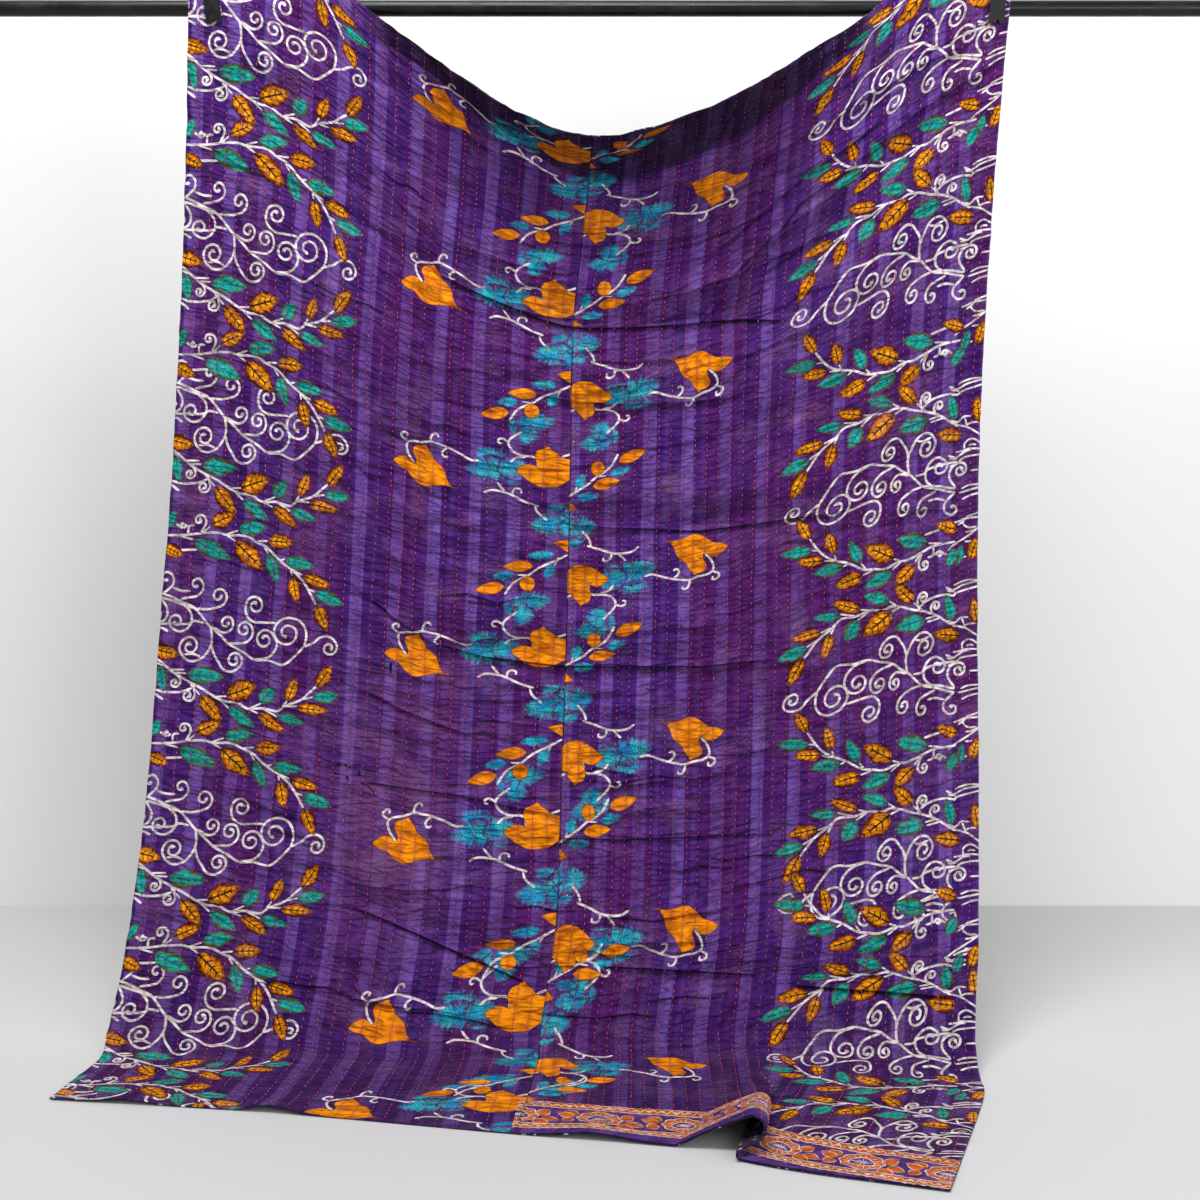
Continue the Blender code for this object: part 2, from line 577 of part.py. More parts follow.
def add_spring(name, clip):
    """A coil round the pin with one arm up each handle."""
    steps = int(SPRING_TURNS * SPRING_STEPS_A_TURN)
    half = SPRING_PITCH * SPRING_TURNS / 2
    points = [(-half, SPRING_RADIUS, SPRING_ARM)]
    for k in range(steps + 1):
        angle = -2 * pi * k / SPRING_STEPS_A_TURN
        x = -half + 2 * half * k / steps
        points.append((x, SPRING_RADIUS * cos(angle), SPRING_RADIUS * sin(angle)))
    points.append((half, -SPRING_RADIUS, SPRING_ARM))
    curve = bpy.data.curves.new(name, "CURVE")
    curve.dimensions = "3D"
    curve.bevel_depth, curve.bevel_resolution = SPRING_WIRE, WIRE_ROUNDING
    curve.use_fill_caps = True
    spline = curve.splines.new("POLY")
    spline.points.add(len(points) - 1)
    for point, place in zip(spline.points, points):
        point.co = (*place, 1.0)
    curve.materials.append(material("spring_steel"))
    spring = bpy.data.objects.new(name, curve)
    bpy.context.scene.collection.objects.link(spring)
    spring.parent = clip
    spring.location = (0, 0, CLIP_PIVOT)


def add_clip(name, x, tilt):
    """A spring clip over rail and cloth, its parts parented to an empty on the rail."""
    clip = bpy.data.objects.new(f"{name}_place", None)
    clip.location = (x, 0, RAIL_HEIGHT)
    clip.rotation_euler = (0, tilt, 0)
    clip.parent = HANGING
    bpy.context.scene.collection.objects.link(clip)
    outer = CLIP_WIDTH / 2 - LUG_THICKNESS / 2
    inner = outer - LUG_THICKNESS - GAP
    add_lever(f"{name}_front_lever", clip, -1, outer)
    add_lever(f"{name}_back_lever", clip, 1, inner)
    add_pin(f"{name}_pin", clip)
    add_spring(f"{name}_spring", clip)


# ---------------------------------------------------------------- the object
for old in list(bpy.data.objects):
    bpy.data.objects.remove(old, do_unlink=True)

HANGING = bpy.data.objects.new("hanging", None)
HANGING.location = (RAIL_LENGTH / 2, 0, -RAIL_HEIGHT)
bpy.context.scene.collection.objects.link(HANGING)

add_rail()
add_sheet("left_panel", left_grid(), 0.0, CLOTH_THICKNESS, "printed_cotton")
add_sheet("right_panel", right_grid(), 0.0, CLOTH_THICKNESS, "printed_cotton")
add_sheet("border_strip", strip_grid(), CLOTH_THICKNESS + GAP, STRIP_THICKNESS, "border_cotton")
for side_name, room_x, lean in CLIPS:
    add_clip(f"{side_name}_clip", room_x, lean)
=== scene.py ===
# %% [markdown]
# # A kantha quilt on a round rail
#
# A kantha quilt is two or three layers of old printed cotton, held together by long
# rows of running stitches. This one is two printed panels joined by a seam, with a
# border strip sewn over the hem on the right. Two spring clips hold its top corners
# on a black rail, so that the top edge sags, and its foot lies on the floor.
#
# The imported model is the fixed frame. Every piece below is fitted to it.

# %% Load the frame
import json
from math import atan2, cos, hypot, pi, radians, sin

import bpy
import numpy as np
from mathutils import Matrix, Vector
from mathutils.bvhtree import BVHTree
from mathutils.geometry import delaunay_2d_cdt
from mathutils.kdtree import KDTree

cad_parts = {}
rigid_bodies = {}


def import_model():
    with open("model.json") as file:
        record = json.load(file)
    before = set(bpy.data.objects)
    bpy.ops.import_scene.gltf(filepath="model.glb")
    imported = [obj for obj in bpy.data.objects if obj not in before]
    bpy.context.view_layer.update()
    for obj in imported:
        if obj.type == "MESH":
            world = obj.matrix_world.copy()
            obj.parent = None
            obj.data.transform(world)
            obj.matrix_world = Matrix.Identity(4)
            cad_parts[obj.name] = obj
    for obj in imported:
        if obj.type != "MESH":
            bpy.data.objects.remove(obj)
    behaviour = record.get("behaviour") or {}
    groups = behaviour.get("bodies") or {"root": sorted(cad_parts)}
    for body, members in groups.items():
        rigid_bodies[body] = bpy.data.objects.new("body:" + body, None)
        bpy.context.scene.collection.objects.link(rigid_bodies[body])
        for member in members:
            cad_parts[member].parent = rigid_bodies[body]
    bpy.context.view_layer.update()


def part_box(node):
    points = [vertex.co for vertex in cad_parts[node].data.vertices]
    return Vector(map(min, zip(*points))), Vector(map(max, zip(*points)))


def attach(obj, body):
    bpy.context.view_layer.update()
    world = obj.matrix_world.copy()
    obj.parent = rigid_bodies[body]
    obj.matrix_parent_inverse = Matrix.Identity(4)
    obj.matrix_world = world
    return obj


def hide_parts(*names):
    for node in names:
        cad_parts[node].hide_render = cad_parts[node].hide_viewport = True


for start_up_object in list(bpy.data.objects):
    bpy.data.objects.remove(start_up_object)
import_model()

# %% [markdown]
# ## Room, camera and light
#
# The functions for the cloth use a room frame: X across with 0 midway along the rail,
# Y away from the viewer with 0 on the rail's axis, and Z up with 0 on the floor. The
# rail's own box says where that frame lies in the model.

# %% Where the room lies
rail_low, rail_high = (np.array(corner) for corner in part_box("rail"))
RAIL_AXIS = (rail_low + rail_high) / 2
RAIL_HEIGHT = 1.64
ROOM = np.array([RAIL_AXIS[0], RAIL_AXIS[1], RAIL_AXIS[2] - RAIL_HEIGHT])
print("room frame at", ROOM)

# %% Camera
SENSOR_WIDTH, LENS = 36, 54  # millimetres
CAMERA_PLACE = (0, -2.92, 1.115)  # in the room
CAMERA_TILT = radians(82)  # up from looking straight down


def into_scene(name, data):
    made = bpy.data.objects.new(name, data)
    bpy.context.scene.collection.objects.link(made)
    return made


camera = into_scene("camera", bpy.data.cameras.new("camera"))
camera.data.lens, camera.data.sensor_width = LENS, SENSOR_WIDTH
camera.location = Vector(ROOM) + Vector(CAMERA_PLACE)
camera.rotation_euler = (CAMERA_TILT, 0, 0)
bpy.context.scene.camera = camera
print("the camera stands at", np.round(camera.location, 3))

# %% [markdown]
# ## Studio
#
# The quilt is shown in an even white studio: a pale grey floor, a plain white wall
# close behind, one large soft light high on the left of the viewer, a weaker one on
# the right, and a white world for the rest. The wall and the floor are stage, not
# part of the object. The wall lets a camera behind it see through.

# %% Soft studio light
LIGHTS = [  # name, place, aim, size, watts
    ("key_light", (-0.35, -1.25, 3.5), (0.1, 0.1, 0.8), (1.8, 0.9), 86),
    ("fill_light", (2.3, -3.4, 1.7), (0.2, 0.1, 0.8), (2.2, 2.2), 54)]
WORLD_STRENGTH = 0.48

bpy.context.scene.view_settings.view_transform = "Standard"
for name, place, aim, size, watts in LIGHTS:
    data = bpy.data.lights.new(name, "AREA")
    data.shape, data.size, data.size_y, data.energy = "RECTANGLE", *size, watts
    lamp = into_scene(name, data)
    lamp.location = Vector(ROOM) + Vector(place)
    towards = Vector(ROOM) + Vector(aim) - lamp.location
    lamp.rotation_euler = towards.to_track_quat("-Z", "Y").to_euler()
    print(name, watts, "W")

world = bpy.data.worlds.new("studio")
world.use_nodes = True
background = world.node_tree.nodes["Background"].inputs
background["Color"].default_value = (1.0, 1.0, 1.0, 1.0)
background["Strength"].default_value = WORLD_STRENGTH
bpy.context.scene.world = world

# %% Floor and wall
FLOOR_LEVEL = -0.001
FLOOR_REACH, WALL_REACH, WALL_TOP = 8, 6, 5
WALL_BEHIND = 0.59  # rail to wall


def new_material(name, **plain):
    """A material, its node tree and its shader, with plain values on the shader's sockets."""
    made = bpy.data.materials.new(name)
    made.use_nodes = True
    shader = made.node_tree.nodes["Principled BSDF"]
    for label, value in plain.items():
        shader.inputs[label.replace("_", " ")].default_value = value
    return made, made.node_tree, shader


def see_through_back(tree, shader):
    """Lets a camera behind the plane see through it."""
    mixed = tree.nodes.new("ShaderNodeMixShader")
    for source, target in (
            (tree.nodes.new("ShaderNodeNewGeometry").outputs["Backfacing"], mixed.inputs[0]),
            (shader.outputs[0], mixed.inputs[1]),
            (tree.nodes.new("ShaderNodeBsdfTransparent").outputs[0], mixed.inputs[2]),
            (mixed.outputs[0], tree.nodes["Material Output"].inputs[0])):
        tree.links.new(source, target)


def stage_plane(name, corners, grey, roughness):
    data = bpy.data.meshes.new(name)
    data.from_pydata([tuple(ROOM + corner) for corner in np.array(corners, float)], [], [(0, 1, 2, 3)])
    finish, tree, shader = new_material(name, Base_Color=(*grey, 1.0), Roughness=roughness)
    data.materials.append(finish)
    into_scene(name, data)
    return tree, shader


stage_plane("floor", [(x * FLOOR_REACH, y * FLOOR_REACH, FLOOR_LEVEL)
                      for x, y in ((-1, -1), (1, -1), (1, 1), (-1, 1))], (0.605, 0.605, 0.61), 0.55)
see_through_back(*stage_plane("wall", [
    (-WALL_REACH, WALL_BEHIND, FLOOR_LEVEL), (WALL_REACH, WALL_BEHIND, FLOOR_LEVEL),
    (WALL_REACH, WALL_BEHIND, WALL_TOP), (-WALL_REACH, WALL_BEHIND, WALL_TOP)], (0.885, 0.885, 0.885), 0.9))
print("the wall stands", WALL_BEHIND, "m behind the rail")

# %% [markdown]
# ## The form of the cloth
#
# A point of the flat cloth is named by how far it lies across from the left edge and
# down from the top edge, in metres. The function cloth() hangs that point in the
# room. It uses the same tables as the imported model: how the top edge sags, how long
# the cloth is, where its edges hang, its soft folds, and its turn onto the floor with
# one overturned fold.

# %% Sizes of the cloth and tables of its hang
CLOTH_WIDTH, SEAM = 1.40, 0.70
THICKNESS = 0.0028
WRAP_RADIUS = 0.0145  # rail's axis to the cloth's underside
CORNER_FLAP = 0.080  # cloth behind the rail at each top corner

TOP_EDGE = [  # across, sag below the rail's crest
    (0.00, -0.080), (0.14, -0.064), (0.27, 0.002), (0.42, 0.104), (0.56, 0.187),
    (0.70, 0.230), (0.85, 0.205), (1.00, 0.132), (1.13, 0.053), (1.25, -0.034),
    (1.40, -0.080)]
HEM = [(0.00, 1.945), (0.33, 1.990), (0.70, 2.065), (0.95, 2.115), (1.15, 2.170), (1.40, 2.195)]
SECTIONS = [  # way down the hang, X of left edge, seam, right edge
    (0.00, -0.640, 0.000, 0.640), (0.25, -0.652, -0.014, 0.624),
    (0.50, -0.669, -0.042, 0.614), (0.75, -0.690, -0.049, 0.610),
    (1.00, -0.716, -0.055, 0.612), (1.25, -0.738, -0.064, 0.613),
    (1.50, -0.766, -0.074, 0.602), (1.66, -0.790, -0.098, 0.584)]
FOLDS = [  # across, down, across, down, half width, push to the viewer
    (0.42, 0.34, 0.96, 0.43, 0.034, 0.010), (0.42, 0.42, 1.06, 0.51, 0.030, -0.010),
    (0.66, 0.56, 1.00, 0.59, 0.030, 0.007), (0.64, 0.63, 1.02, 0.66, 0.026, -0.007),
    (0.60, 0.79, 1.18, 0.81, 0.036, 0.008), (0.62, 0.86, 1.18, 0.88, 0.028, -0.008),
    (0.46, 1.03, 0.96, 1.06, 0.034, 0.007), (0.46, 1.10, 0.96, 1.13, 0.028, -0.007),
    (0.34, 1.46, 0.70, 1.58, 0.038, 0.010), (0.36, 1.53, 0.72, 1.66, 0.030, -0.009),
    (0.78, 1.56, 1.36, 1.60, 0.036, 0.009), (0.80, 1.63, 1.38, 1.67, 0.030, -0.008),
    (1.34, 0.22, 0.92, 0.50, 0.042, -0.014), (1.30, 0.34, 1.02, 0.66, 0.044, 0.012),
    (1.10, 0.36, 1.07, 0.92, 0.048, -0.010), (0.08, 0.20, 0.44, 0.44, 0.040, -0.010),
    (0.10, 0.34, 0.40, 0.66, 0.046, 0.010), (0.36, 0.40, 0.39, 1.34, 0.044, -0.011),
    (0.24, 0.60, 0.22, 1.40, 0.060, 0.009), (1.24, 0.90, 1.22, 1.50, 0.060, 0.009)]
FOLD_FADE = 0.3  # share of a fold's length over which each end fades out
FREE_FROM, FREE_FADE_IN = 0.04, 0.16  # folds start this far below the crest
FREE_TO, FREE_FADE_OUT = 0.02, 0.12  # and end this far above the landing
CROSSING_LIFT, CROSSING_SAG = 0.004, 0.035  # off the rail where the top edge crosses it
CROSSING_NEAR, CROSSING_FADE = 0.04, 0.10
SAG_LEAN, SAG_LEAN_REACH = 0.120, 0.130  # the sagging edge leans to the viewer
SAG_LEAN_POWER, SAG_LEAN_FULL = 1.3, 0.20
SAG_NEAR, SAG_NEAR_SHARE, SAG_REACH = 0.20, 0.55, 1.45  # how the rows level out downwards
FOOT_BEND, FOOT_CURVE, FOOT_LEFT, FOOT_RIGHT = 0.06, 5, 0.15, 0.26
PROFILE_STEP, PROFILE_BEHIND, PROFILE_FLOOR = 0.0005, 0.20, 0.70

# %% Tables of the cloth on the floor
LIFTS = [  # across, before the hem, radius, height
    (0.34, 0.00, 0.036, 0.010), (0.80, 0.00, 0.050, 0.008), (0.12, 0.01, 0.045, 0.006)]
LIFT_FROM = 0.08
FLOOR_FOLD = [  # part, run, angle at its start and end in degrees
    ("rise", 0.1200, 25, 25), ("crest", 0.0484, 25, -160),
    ("return", 0.0220, -160, -160), ("foot", 0.0262, -160, 0)]
FLOOR_SPREAD = [(0.00, 0.22), (SEAM, 0.075), (0.92, 0.0)]  # across, outwards
PIVOT, FLOOR_TURN = 1.07, radians(20)  # right of the pivot the cloth is turned
FLOOR_FOLD_REACH, FLOOR_FOLD_RIGHT, FLOOR_FOLD_SOFT, TURN_SOFT = 0.337, 0.047, 0.16, 0.03
FOLD_SAMPLES, TINY = 400, 1e-9
STRIP_LEFT = 0.69  # across, where the border strip starts
STRIP = [(0.00, 0.110), (0.70, 0.110), (0.95, 0.118), (1.02, 0.130), (1.20, 0.105), (1.40, 0.092)]


# %% Smooth curves through tables
def ease(t):
    t = np.clip(t, 0.0, 1.0)
    return t * t * (3.0 - 2.0 * t)


def through(table, column, x):
    """A smooth curve through one column of a table, read at x."""
    rows = np.array(table)
    at, value = rows[:, 0], rows[:, column]
    slope = np.gradient(value, at)
    x = np.clip(x, at[0], at[-1])
    i = np.clip(np.searchsorted(at, x) - 1, 0, len(at) - 2)
    step = at[i + 1] - at[i]
    t = (x - at[i]) / step
    start = (1 + 2 * t) * (1 - t) ** 2 * value[i] + t * (1 - t) ** 2 * step * slope[i]
    end = t * t * (3 - 2 * t) * value[i + 1] - t * t * (1 - t) * step * slope[i + 1]
    return start + end


def hem(across):
    return through(HEM, 1, across)


def sag(across):
    return through(TOP_EDGE, 1, across)


def strip_top(across):
    return hem(across) - through(STRIP, 1, across)


# %% The side view of the hang
def side_profile(foot_forward, step=PROFILE_STEP):
    """Way from the rail's crest, forward, height: behind, over, down, along the floor."""
    behind = np.arange(-PROFILE_BEHIND, -WRAP_RADIUS * pi / 2, step)
    over = np.arange(-pi / 2, pi / 2, step / WRAP_RADIUS)
    height = np.arange(RAIL_HEIGHT, 0.0, -step)
    fallen = (RAIL_HEIGHT - height) / RAIL_HEIGHT
    forward = WRAP_RADIUS + foot_forward * fallen ** FOOT_CURVE
    lean = np.arctan(FOOT_CURVE * foot_forward / RAIL_HEIGHT * fallen ** (FOOT_CURVE - 1))
    turn = int(np.argmax(height <= FOOT_BEND * (1 - np.sin(lean))))
    bend = np.arange(lean[turn], pi / 2, step / FOOT_BEND)
    landed = forward[turn] + FOOT_BEND * cos(lean[turn])
    floor = np.arange(step, PROFILE_FLOOR, step)
    forward = np.concatenate([
        np.full(len(behind), -WRAP_RADIUS), WRAP_RADIUS * np.sin(over), forward[:turn],
        forward[turn] + FOOT_BEND * (cos(lean[turn]) - np.cos(bend)), landed + floor])
    height = np.concatenate([
        RAIL_HEIGHT + behind + WRAP_RADIUS * pi / 2, RAIL_HEIGHT + WRAP_RADIUS * np.cos(over),
        height[:turn], FOOT_BEND * (1 - np.sin(bend)), np.zeros(len(floor))])
    way = np.concatenate([[0.0], np.cumsum(np.hypot(np.diff(forward), np.diff(height)))])
    way -= way[np.argmax(height)]
    return way, forward, height, way[-1] - floor[-1]


SIDE_LEFT, SIDE_RIGHT = side_profile(FOOT_LEFT), side_profile(FOOT_RIGHT)
print("the cloth lands after", round(SIDE_LEFT[3], 3), "and", round(SIDE_RIGHT[3], 3), "m")


# %% The floor fold's section
def floor_fold_section(samples=FOLD_SAMPLES):
    """Run along the floor fold's section, and its across and up at full size."""
    length = sum(part[1] for part in FLOOR_FOLD)
    run = np.linspace(0.0, length, samples + 1)
    middle = (run[1:] + run[:-1]) / 2
    angle, start = np.zeros(samples), 0.0
    for _part, part_run, angle_1, angle_2 in FLOOR_FOLD:
        inside = (middle >= start) & (middle <= start + part_run)
        share = (middle[inside] - start) / part_run
        angle[inside] = np.radians(angle_1 + (angle_2 - angle_1) * share)
        start += part_run
    pace = length / samples
    over, up = (np.concatenate([[0.0], np.cumsum(step * pace)]) for step in (np.cos(angle), np.sin(angle)))
    return run, over / over[-1], up - up[-1] * run / length


FOLD_RUN, FOLD_OVER, FOLD_UP = floor_fold_section()
FLOOR_FOLD_LEFT = FOLD_RUN[-1] - FLOOR_FOLD_RIGHT
print("the floor fold takes up", round(FOLD_RUN[-1], 3), "m of cloth and stands",
      round(max(FOLD_UP), 3), "m high")


# %% How the rows, the soft folds and the lifts run
def way_from_crest(across, down):
    """How far along the hang a point of the flat cloth lies."""
    near = SAG_NEAR_SHARE * np.exp(-down / SAG_NEAR)
    far = (1 - SAG_NEAR_SHARE) * (1 - ease(down / SAG_REACH))
    return down - CORNER_FLAP + (sag(across) + CORNER_FLAP) * (near + far)


def fold_push(across, down):
    push = np.zeros_like(across)
    for across_1, down_1, across_2, down_2, half_width, depth in FOLDS:
        run = np.hypot(across_2 - across_1, down_2 - down_1)
        ux, uy = (across_2 - across_1) / run, (down_2 - down_1) / run
        along = ((across - across_1) * ux + (down - down_1) * uy) / run
        aside = (across - across_1) * uy - (down - down_1) * ux
        ends = ease(along / FOLD_FADE + 0.5) * ease((1 - along) / FOLD_FADE + 0.5)
        push += depth * ends * np.exp(-(aside / half_width) ** 2)
    return push


def lift(across, down):
    before_hem = hem(across) - down
    return sum(height * np.exp(-((across - at) ** 2 + (before_hem - before) ** 2) / radius ** 2)
               for at, before, radius, height in LIFTS)


def right_share(across):
    """0 up to the pivot, 1 at the right edge."""
    return np.clip((across - PIVOT) / (CLOTH_WIDTH - PIVOT), 0.0, 1.0)


def landing_way(across):
    """How far along the hang the cloth meets the floor."""
    right = right_share(across)
    return (1 - right) * SIDE_LEFT[3] + right * SIDE_RIGHT[3]


# %% Hanging a point of the flat cloth
def cloth(across, down):
    """The underside of the cloth in the room, as points (x, y, z)."""
    way, right, landing = way_from_crest(across, down), right_share(across), landing_way(across)
    forward, height = ((1 - right) * np.interp(way, SIDE_LEFT[0], SIDE_LEFT[column])
                       + right * np.interp(way, SIDE_RIGHT[0], SIDE_RIGHT[column])
                       for column in (1, 2))
    hung = np.clip(np.minimum(way, landing), SECTIONS[0][0], SECTIONS[-1][0])
    left_edge, seam, right_edge = (through(SECTIONS, c, hung) for c in (1, 2, 3))
    x = np.where(across < SEAM, left_edge + (seam - left_edge) * across / SEAM,
                 seam + (right_edge - seam) * (across - SEAM) / (CLOTH_WIDTH - SEAM))

    stands_off = CROSSING_LIFT * np.exp(-(sag(across) / CROSSING_SAG) ** 2)
    stands_off = stands_off * (1 - ease((np.abs(way) - CROSSING_NEAR) / CROSSING_FADE))
    forward = forward + stands_off * np.clip(forward / WRAP_RADIUS, -1.0, 1.0)
    height = height + stands_off * np.clip((height - RAIL_HEIGHT) / WRAP_RADIUS, 0.0, 1.0)

    below = np.maximum(down, 0.0) / SAG_LEAN_REACH
    forward = forward + SAG_LEAN * ease(sag(across) / SAG_LEAN_FULL) * np.exp(-below ** SAG_LEAN_POWER)
    free = ease((way - FREE_FROM) / FREE_FADE_IN) * ease((landing - FREE_TO - way) / FREE_FADE_OUT)
    forward = forward + free * fold_push(across, down)

    lying = np.maximum(way - landing, 0.0)
    x = x - lying * np.interp(across, *zip(*FLOOR_SPREAD))
    height = height + lift(across, down) * ease(lying / LIFT_FROM)
    return np.stack(floor_fold(across, lying, x, forward, height), axis=-1) * (1, -1, 1)


def floor_fold(across, lying, x, forward, height):
    """Turns the cloth right of the pivot, and folds what is left over between."""
    scale = lying / FLOOR_FOLD_REACH
    first, last = PIVOT - FLOOR_FOLD_LEFT * scale, PIVOT + FLOOR_FOLD_RIGHT * scale
    swing = lying - TURN_SOFT * (1 - np.exp(-lying / TURN_SOFT))
    turned_x = x - sin(FLOOR_TURN) * swing
    turned_forward = forward - lying * (1 - cos(FLOOR_TURN))

    foot_1_x = x + (first - across)
    foot_2_x = x + (last - across) * cos(FLOOR_TURN) - sin(FLOOR_TURN) * swing
    foot_2_forward = turned_forward + sin(FLOOR_TURN) * (last - np.maximum(across, PIVOT))

    share = np.clip((across - first) / np.maximum(last - first, TINY), 0.0, 1.0)
    stand = ease(lying / FLOOR_FOLD_SOFT)
    over = share * (1 - stand) + np.interp(share * FOLD_RUN[-1], FOLD_RUN, FOLD_OVER) * stand
    up = np.interp(share * FOLD_RUN[-1], FOLD_RUN, FOLD_UP) * scale * stand

    folded = (lying > 0) & (across > first) & (across < last)
    turned = (lying > 0) & (across >= last)
    x = np.select([folded, turned], [foot_1_x + (foot_2_x - foot_1_x) * over, turned_x], x)
    forward = np.select([folded, turned], [forward + (foot_2_forward - forward) * over,
                                           turned_forward], forward)
    return x, forward, np.where(folded, height + up, height)


NORMAL_REACH = 0.002  # distance over which the cloth's slope is measured


def cloth_normal(across, down, reach=NORMAL_REACH):
    """Unit normal of the cloth, out of its face."""
    one = cloth(across + reach, down) - cloth(across - reach, down)
    two = cloth(across, down + reach) - cloth(across, down - reach)
    normal = np.cross(two, one)
    return normal / np.linalg.norm(normal, axis=-1, keepdims=True)


seam_foot = cloth(np.array([SEAM]), np.array([float(hem(SEAM))]))[0]
print("the seam ends on the floor at", np.round(seam_foot, 3))

# %% [markdown]
# ## Wrinkles
#
# The running stitches draw the layers together, so a kantha is never smooth. Three
# sizes of wrinkle lie over the form: sharp creases that cross the cloth along its
# weft, soft ripples between them, and the fine puckers at each stitch. The creases
# and ripples are modelled, because they change the light at arm's length. The
# puckers are left to a bump in the material, with painted shade in their valleys and
# painted highlight on their crests. The creases also get a painted dark line.
#
# Off the loom the weft was straight. The sagging top edge bows it, so `bow` says how
# much lower it lies there than at the side edges.

# %% The bowed weft, and smooth seeded noise
BOW = [  # across, how much lower the weft lies there
    (0.0, 0.0), (0.28, 0.05), (0.45, 0.08), (0.70, 0.09), (0.95, 0.08), (1.12, 0.05), (1.40, 0.0)]
LATTICE = 64  # cells of the noise before it repeats


def bow(across):
    return np.interp(across, *zip(*BOW))


def wave_noise(x, y, seed):
    """Smooth noise from -1 to 1 on a lattice of unit cells."""
    table = np.random.default_rng(seed).uniform(-1, 1, (LATTICE, LATTICE))
    i, j = np.floor(x).astype(int), np.floor(y).astype(int)
    s, t = ease(x - i), ease(y - j)
    corner = [[table[(i + a) % LATTICE, (j + b) % LATTICE] for b in (0, 1)] for a in (0, 1)]
    return ((corner[0][0] * (1 - t) + corner[0][1] * t) * (1 - s)
            + (corner[1][0] * (1 - t) + corner[1][1] * t) * s)


print("the weft is bowed by up to", max(drop for _across, drop in BOW), "m")

# %% Warp stripes and rows of stitches
# The hang stretches the two panels differently, so stripes and stitch rows are counted
# in their own tables.
LEFT_WARP = [(0.0, -0.26), (0.30, 4.50), (0.4012, 6.0), (0.4656, 7.0), (0.70, 10.41)]
RIGHT_WARP = [(0.70, 10.91), (0.8359, 13.0), (1.1589, 18.0), (1.40, 21.9)]  # across, repeats
STRIPE_REPEAT = 0.0613  # metres of real cloth in one repeat of the stripes
STITCH_ROWS = 0.022  # metres between the rows of stitches
STITCH_PITCH = 0.011  # from one stitch to the next
ROW_TABLES = {"left": (0.0244, -0.0046), "right": (0.0205, 0.0115)}  # spacing, first


def warp_of(across):
    """Metres of real cloth from the left edge."""
    left, right = (np.interp(across, *zip(*table)) for table in (LEFT_WARP, RIGHT_WARP))
    return np.where(across < SEAM, left, right) * STRIPE_REPEAT


def stitch_row_of(across):
    """Which row of stitches a point lies on, as a number with a fraction."""
    left, right = ((across - first) / spacing for spacing, first in ROW_TABLES.values())
    return np.where(across < SEAM, left, right)


print(int(stitch_row_of(np.array([SEAM - TINY]))[0]), "rows of stitches on the left panel")

# %% Creases along the weft
CREASES = [  # points (across, down), depth
    ([(0.443, 0.420), (0.677, 0.475), (0.915, 0.490), (1.062, 0.522)], 0.0060),
    ([(0.662, 0.613), (0.990, 0.642)], 0.0050),
    ([(0.685, 0.853), (0.925, 0.883), (1.165, 0.873)], 0.0050),
    ([(0.440, 1.070), (0.468, 1.085), (0.560, 1.110), (0.693, 1.125), (0.930, 1.127),
      (1.050, 1.118)], 0.0080),
    ([(0.357, 1.532), (0.520, 1.600), (0.672, 1.660)], 0.0060),
    ([(0.782, 1.630), (1.052, 1.645)], 0.0060),
    ([(1.103, 1.660), (1.375, 1.677)], 0.0060),
    ([(0.350, 1.175), (0.420, 1.205), (0.560, 1.255)], 0.0045),
    ([(0.345, 1.010), (0.440, 1.070)], 0.0050),
    ([(0.360, 1.330), (0.520, 1.350), (0.690, 1.385)], 0.0040),
    ([(0.640, 1.420), (0.800, 1.425), (1.060, 1.415)], 0.0045),
    ([(1.393, 0.182), (1.068, 0.310), (0.900, 0.505)], 0.0045),
    ([(1.200, 0.225), (1.070, 0.262), (0.930, 0.360)], 0.0060),
    ([(1.150, 0.300), (1.030, 0.352), (0.930, 0.440)], 0.0060),
    ([(1.110, 0.378), (1.010, 0.425)], 0.0050)]
SHORT_CREASES, SHORT_CREASE_SEED, SHORT_CREASE_POINTS = 130, 4, 5
SHORT_CREASE_TOP, SHORT_CREASE_RUN = 0.10, 1.66  # first one down, and how far they go on
SHORT_CREASE_MARGIN, SHORT_CREASE_WANDER = 0.02, 0.004


def short_creases():
    """Short creases that follow the bowed weft, most of them in the middle."""
    draw = np.random.default_rng(SHORT_CREASE_SEED)
    made = []
    for k in range(SHORT_CREASES):
        middle = np.clip(draw.normal(0.70, 0.27), 0.10, 1.30)
        down = SHORT_CREASE_TOP + SHORT_CREASE_RUN * (k + draw.uniform(0, 1)) / SHORT_CREASES
        half = draw.uniform(0.035, 0.14)
        across = np.linspace(middle - half, middle + half, SHORT_CREASE_POINTS)
        across = across[(across > SHORT_CREASE_MARGIN) & (across < CLOTH_WIDTH - SHORT_CREASE_MARGIN)]
        if len(across) < 3:
            continue
        wander = draw.normal(0, SHORT_CREASE_WANDER, len(across))
        path = down + bow(across) - bow(middle) + draw.uniform(-0.06, 0.10) * (across - middle) + wander
        made.append((list(zip(across, path)), draw.uniform(0.0010, 0.0036)))
    return made


CREASES += short_creases()
print(len(CREASES), "creases")

# %% The shape of a crease
CREASE_ABOVE, CREASE_BELOW, GROOVE_REACH = 0.011, 0.0034, 0.008
GROOVE = -0.55  # depth of the groove below a crease, as a share of its height
CREASE_ENDS, CREASE_FADE = 0.02, 0.06  # it runs on past its end points, and fades out
CREASE_NEAR = (0.03, 0.06, 0.03)  # reach aside, above and below
LINE_SPREAD = 0.6  # half width of the dark line, as a share of the drop
FULL_DEPTH = 0.0050  # a crease this deep holds the darkest line
CREASE_LINES = (-0.012, -0.005, 0.0, 0.0017, 0.0034, 0.0085)  # points of the mesh across one


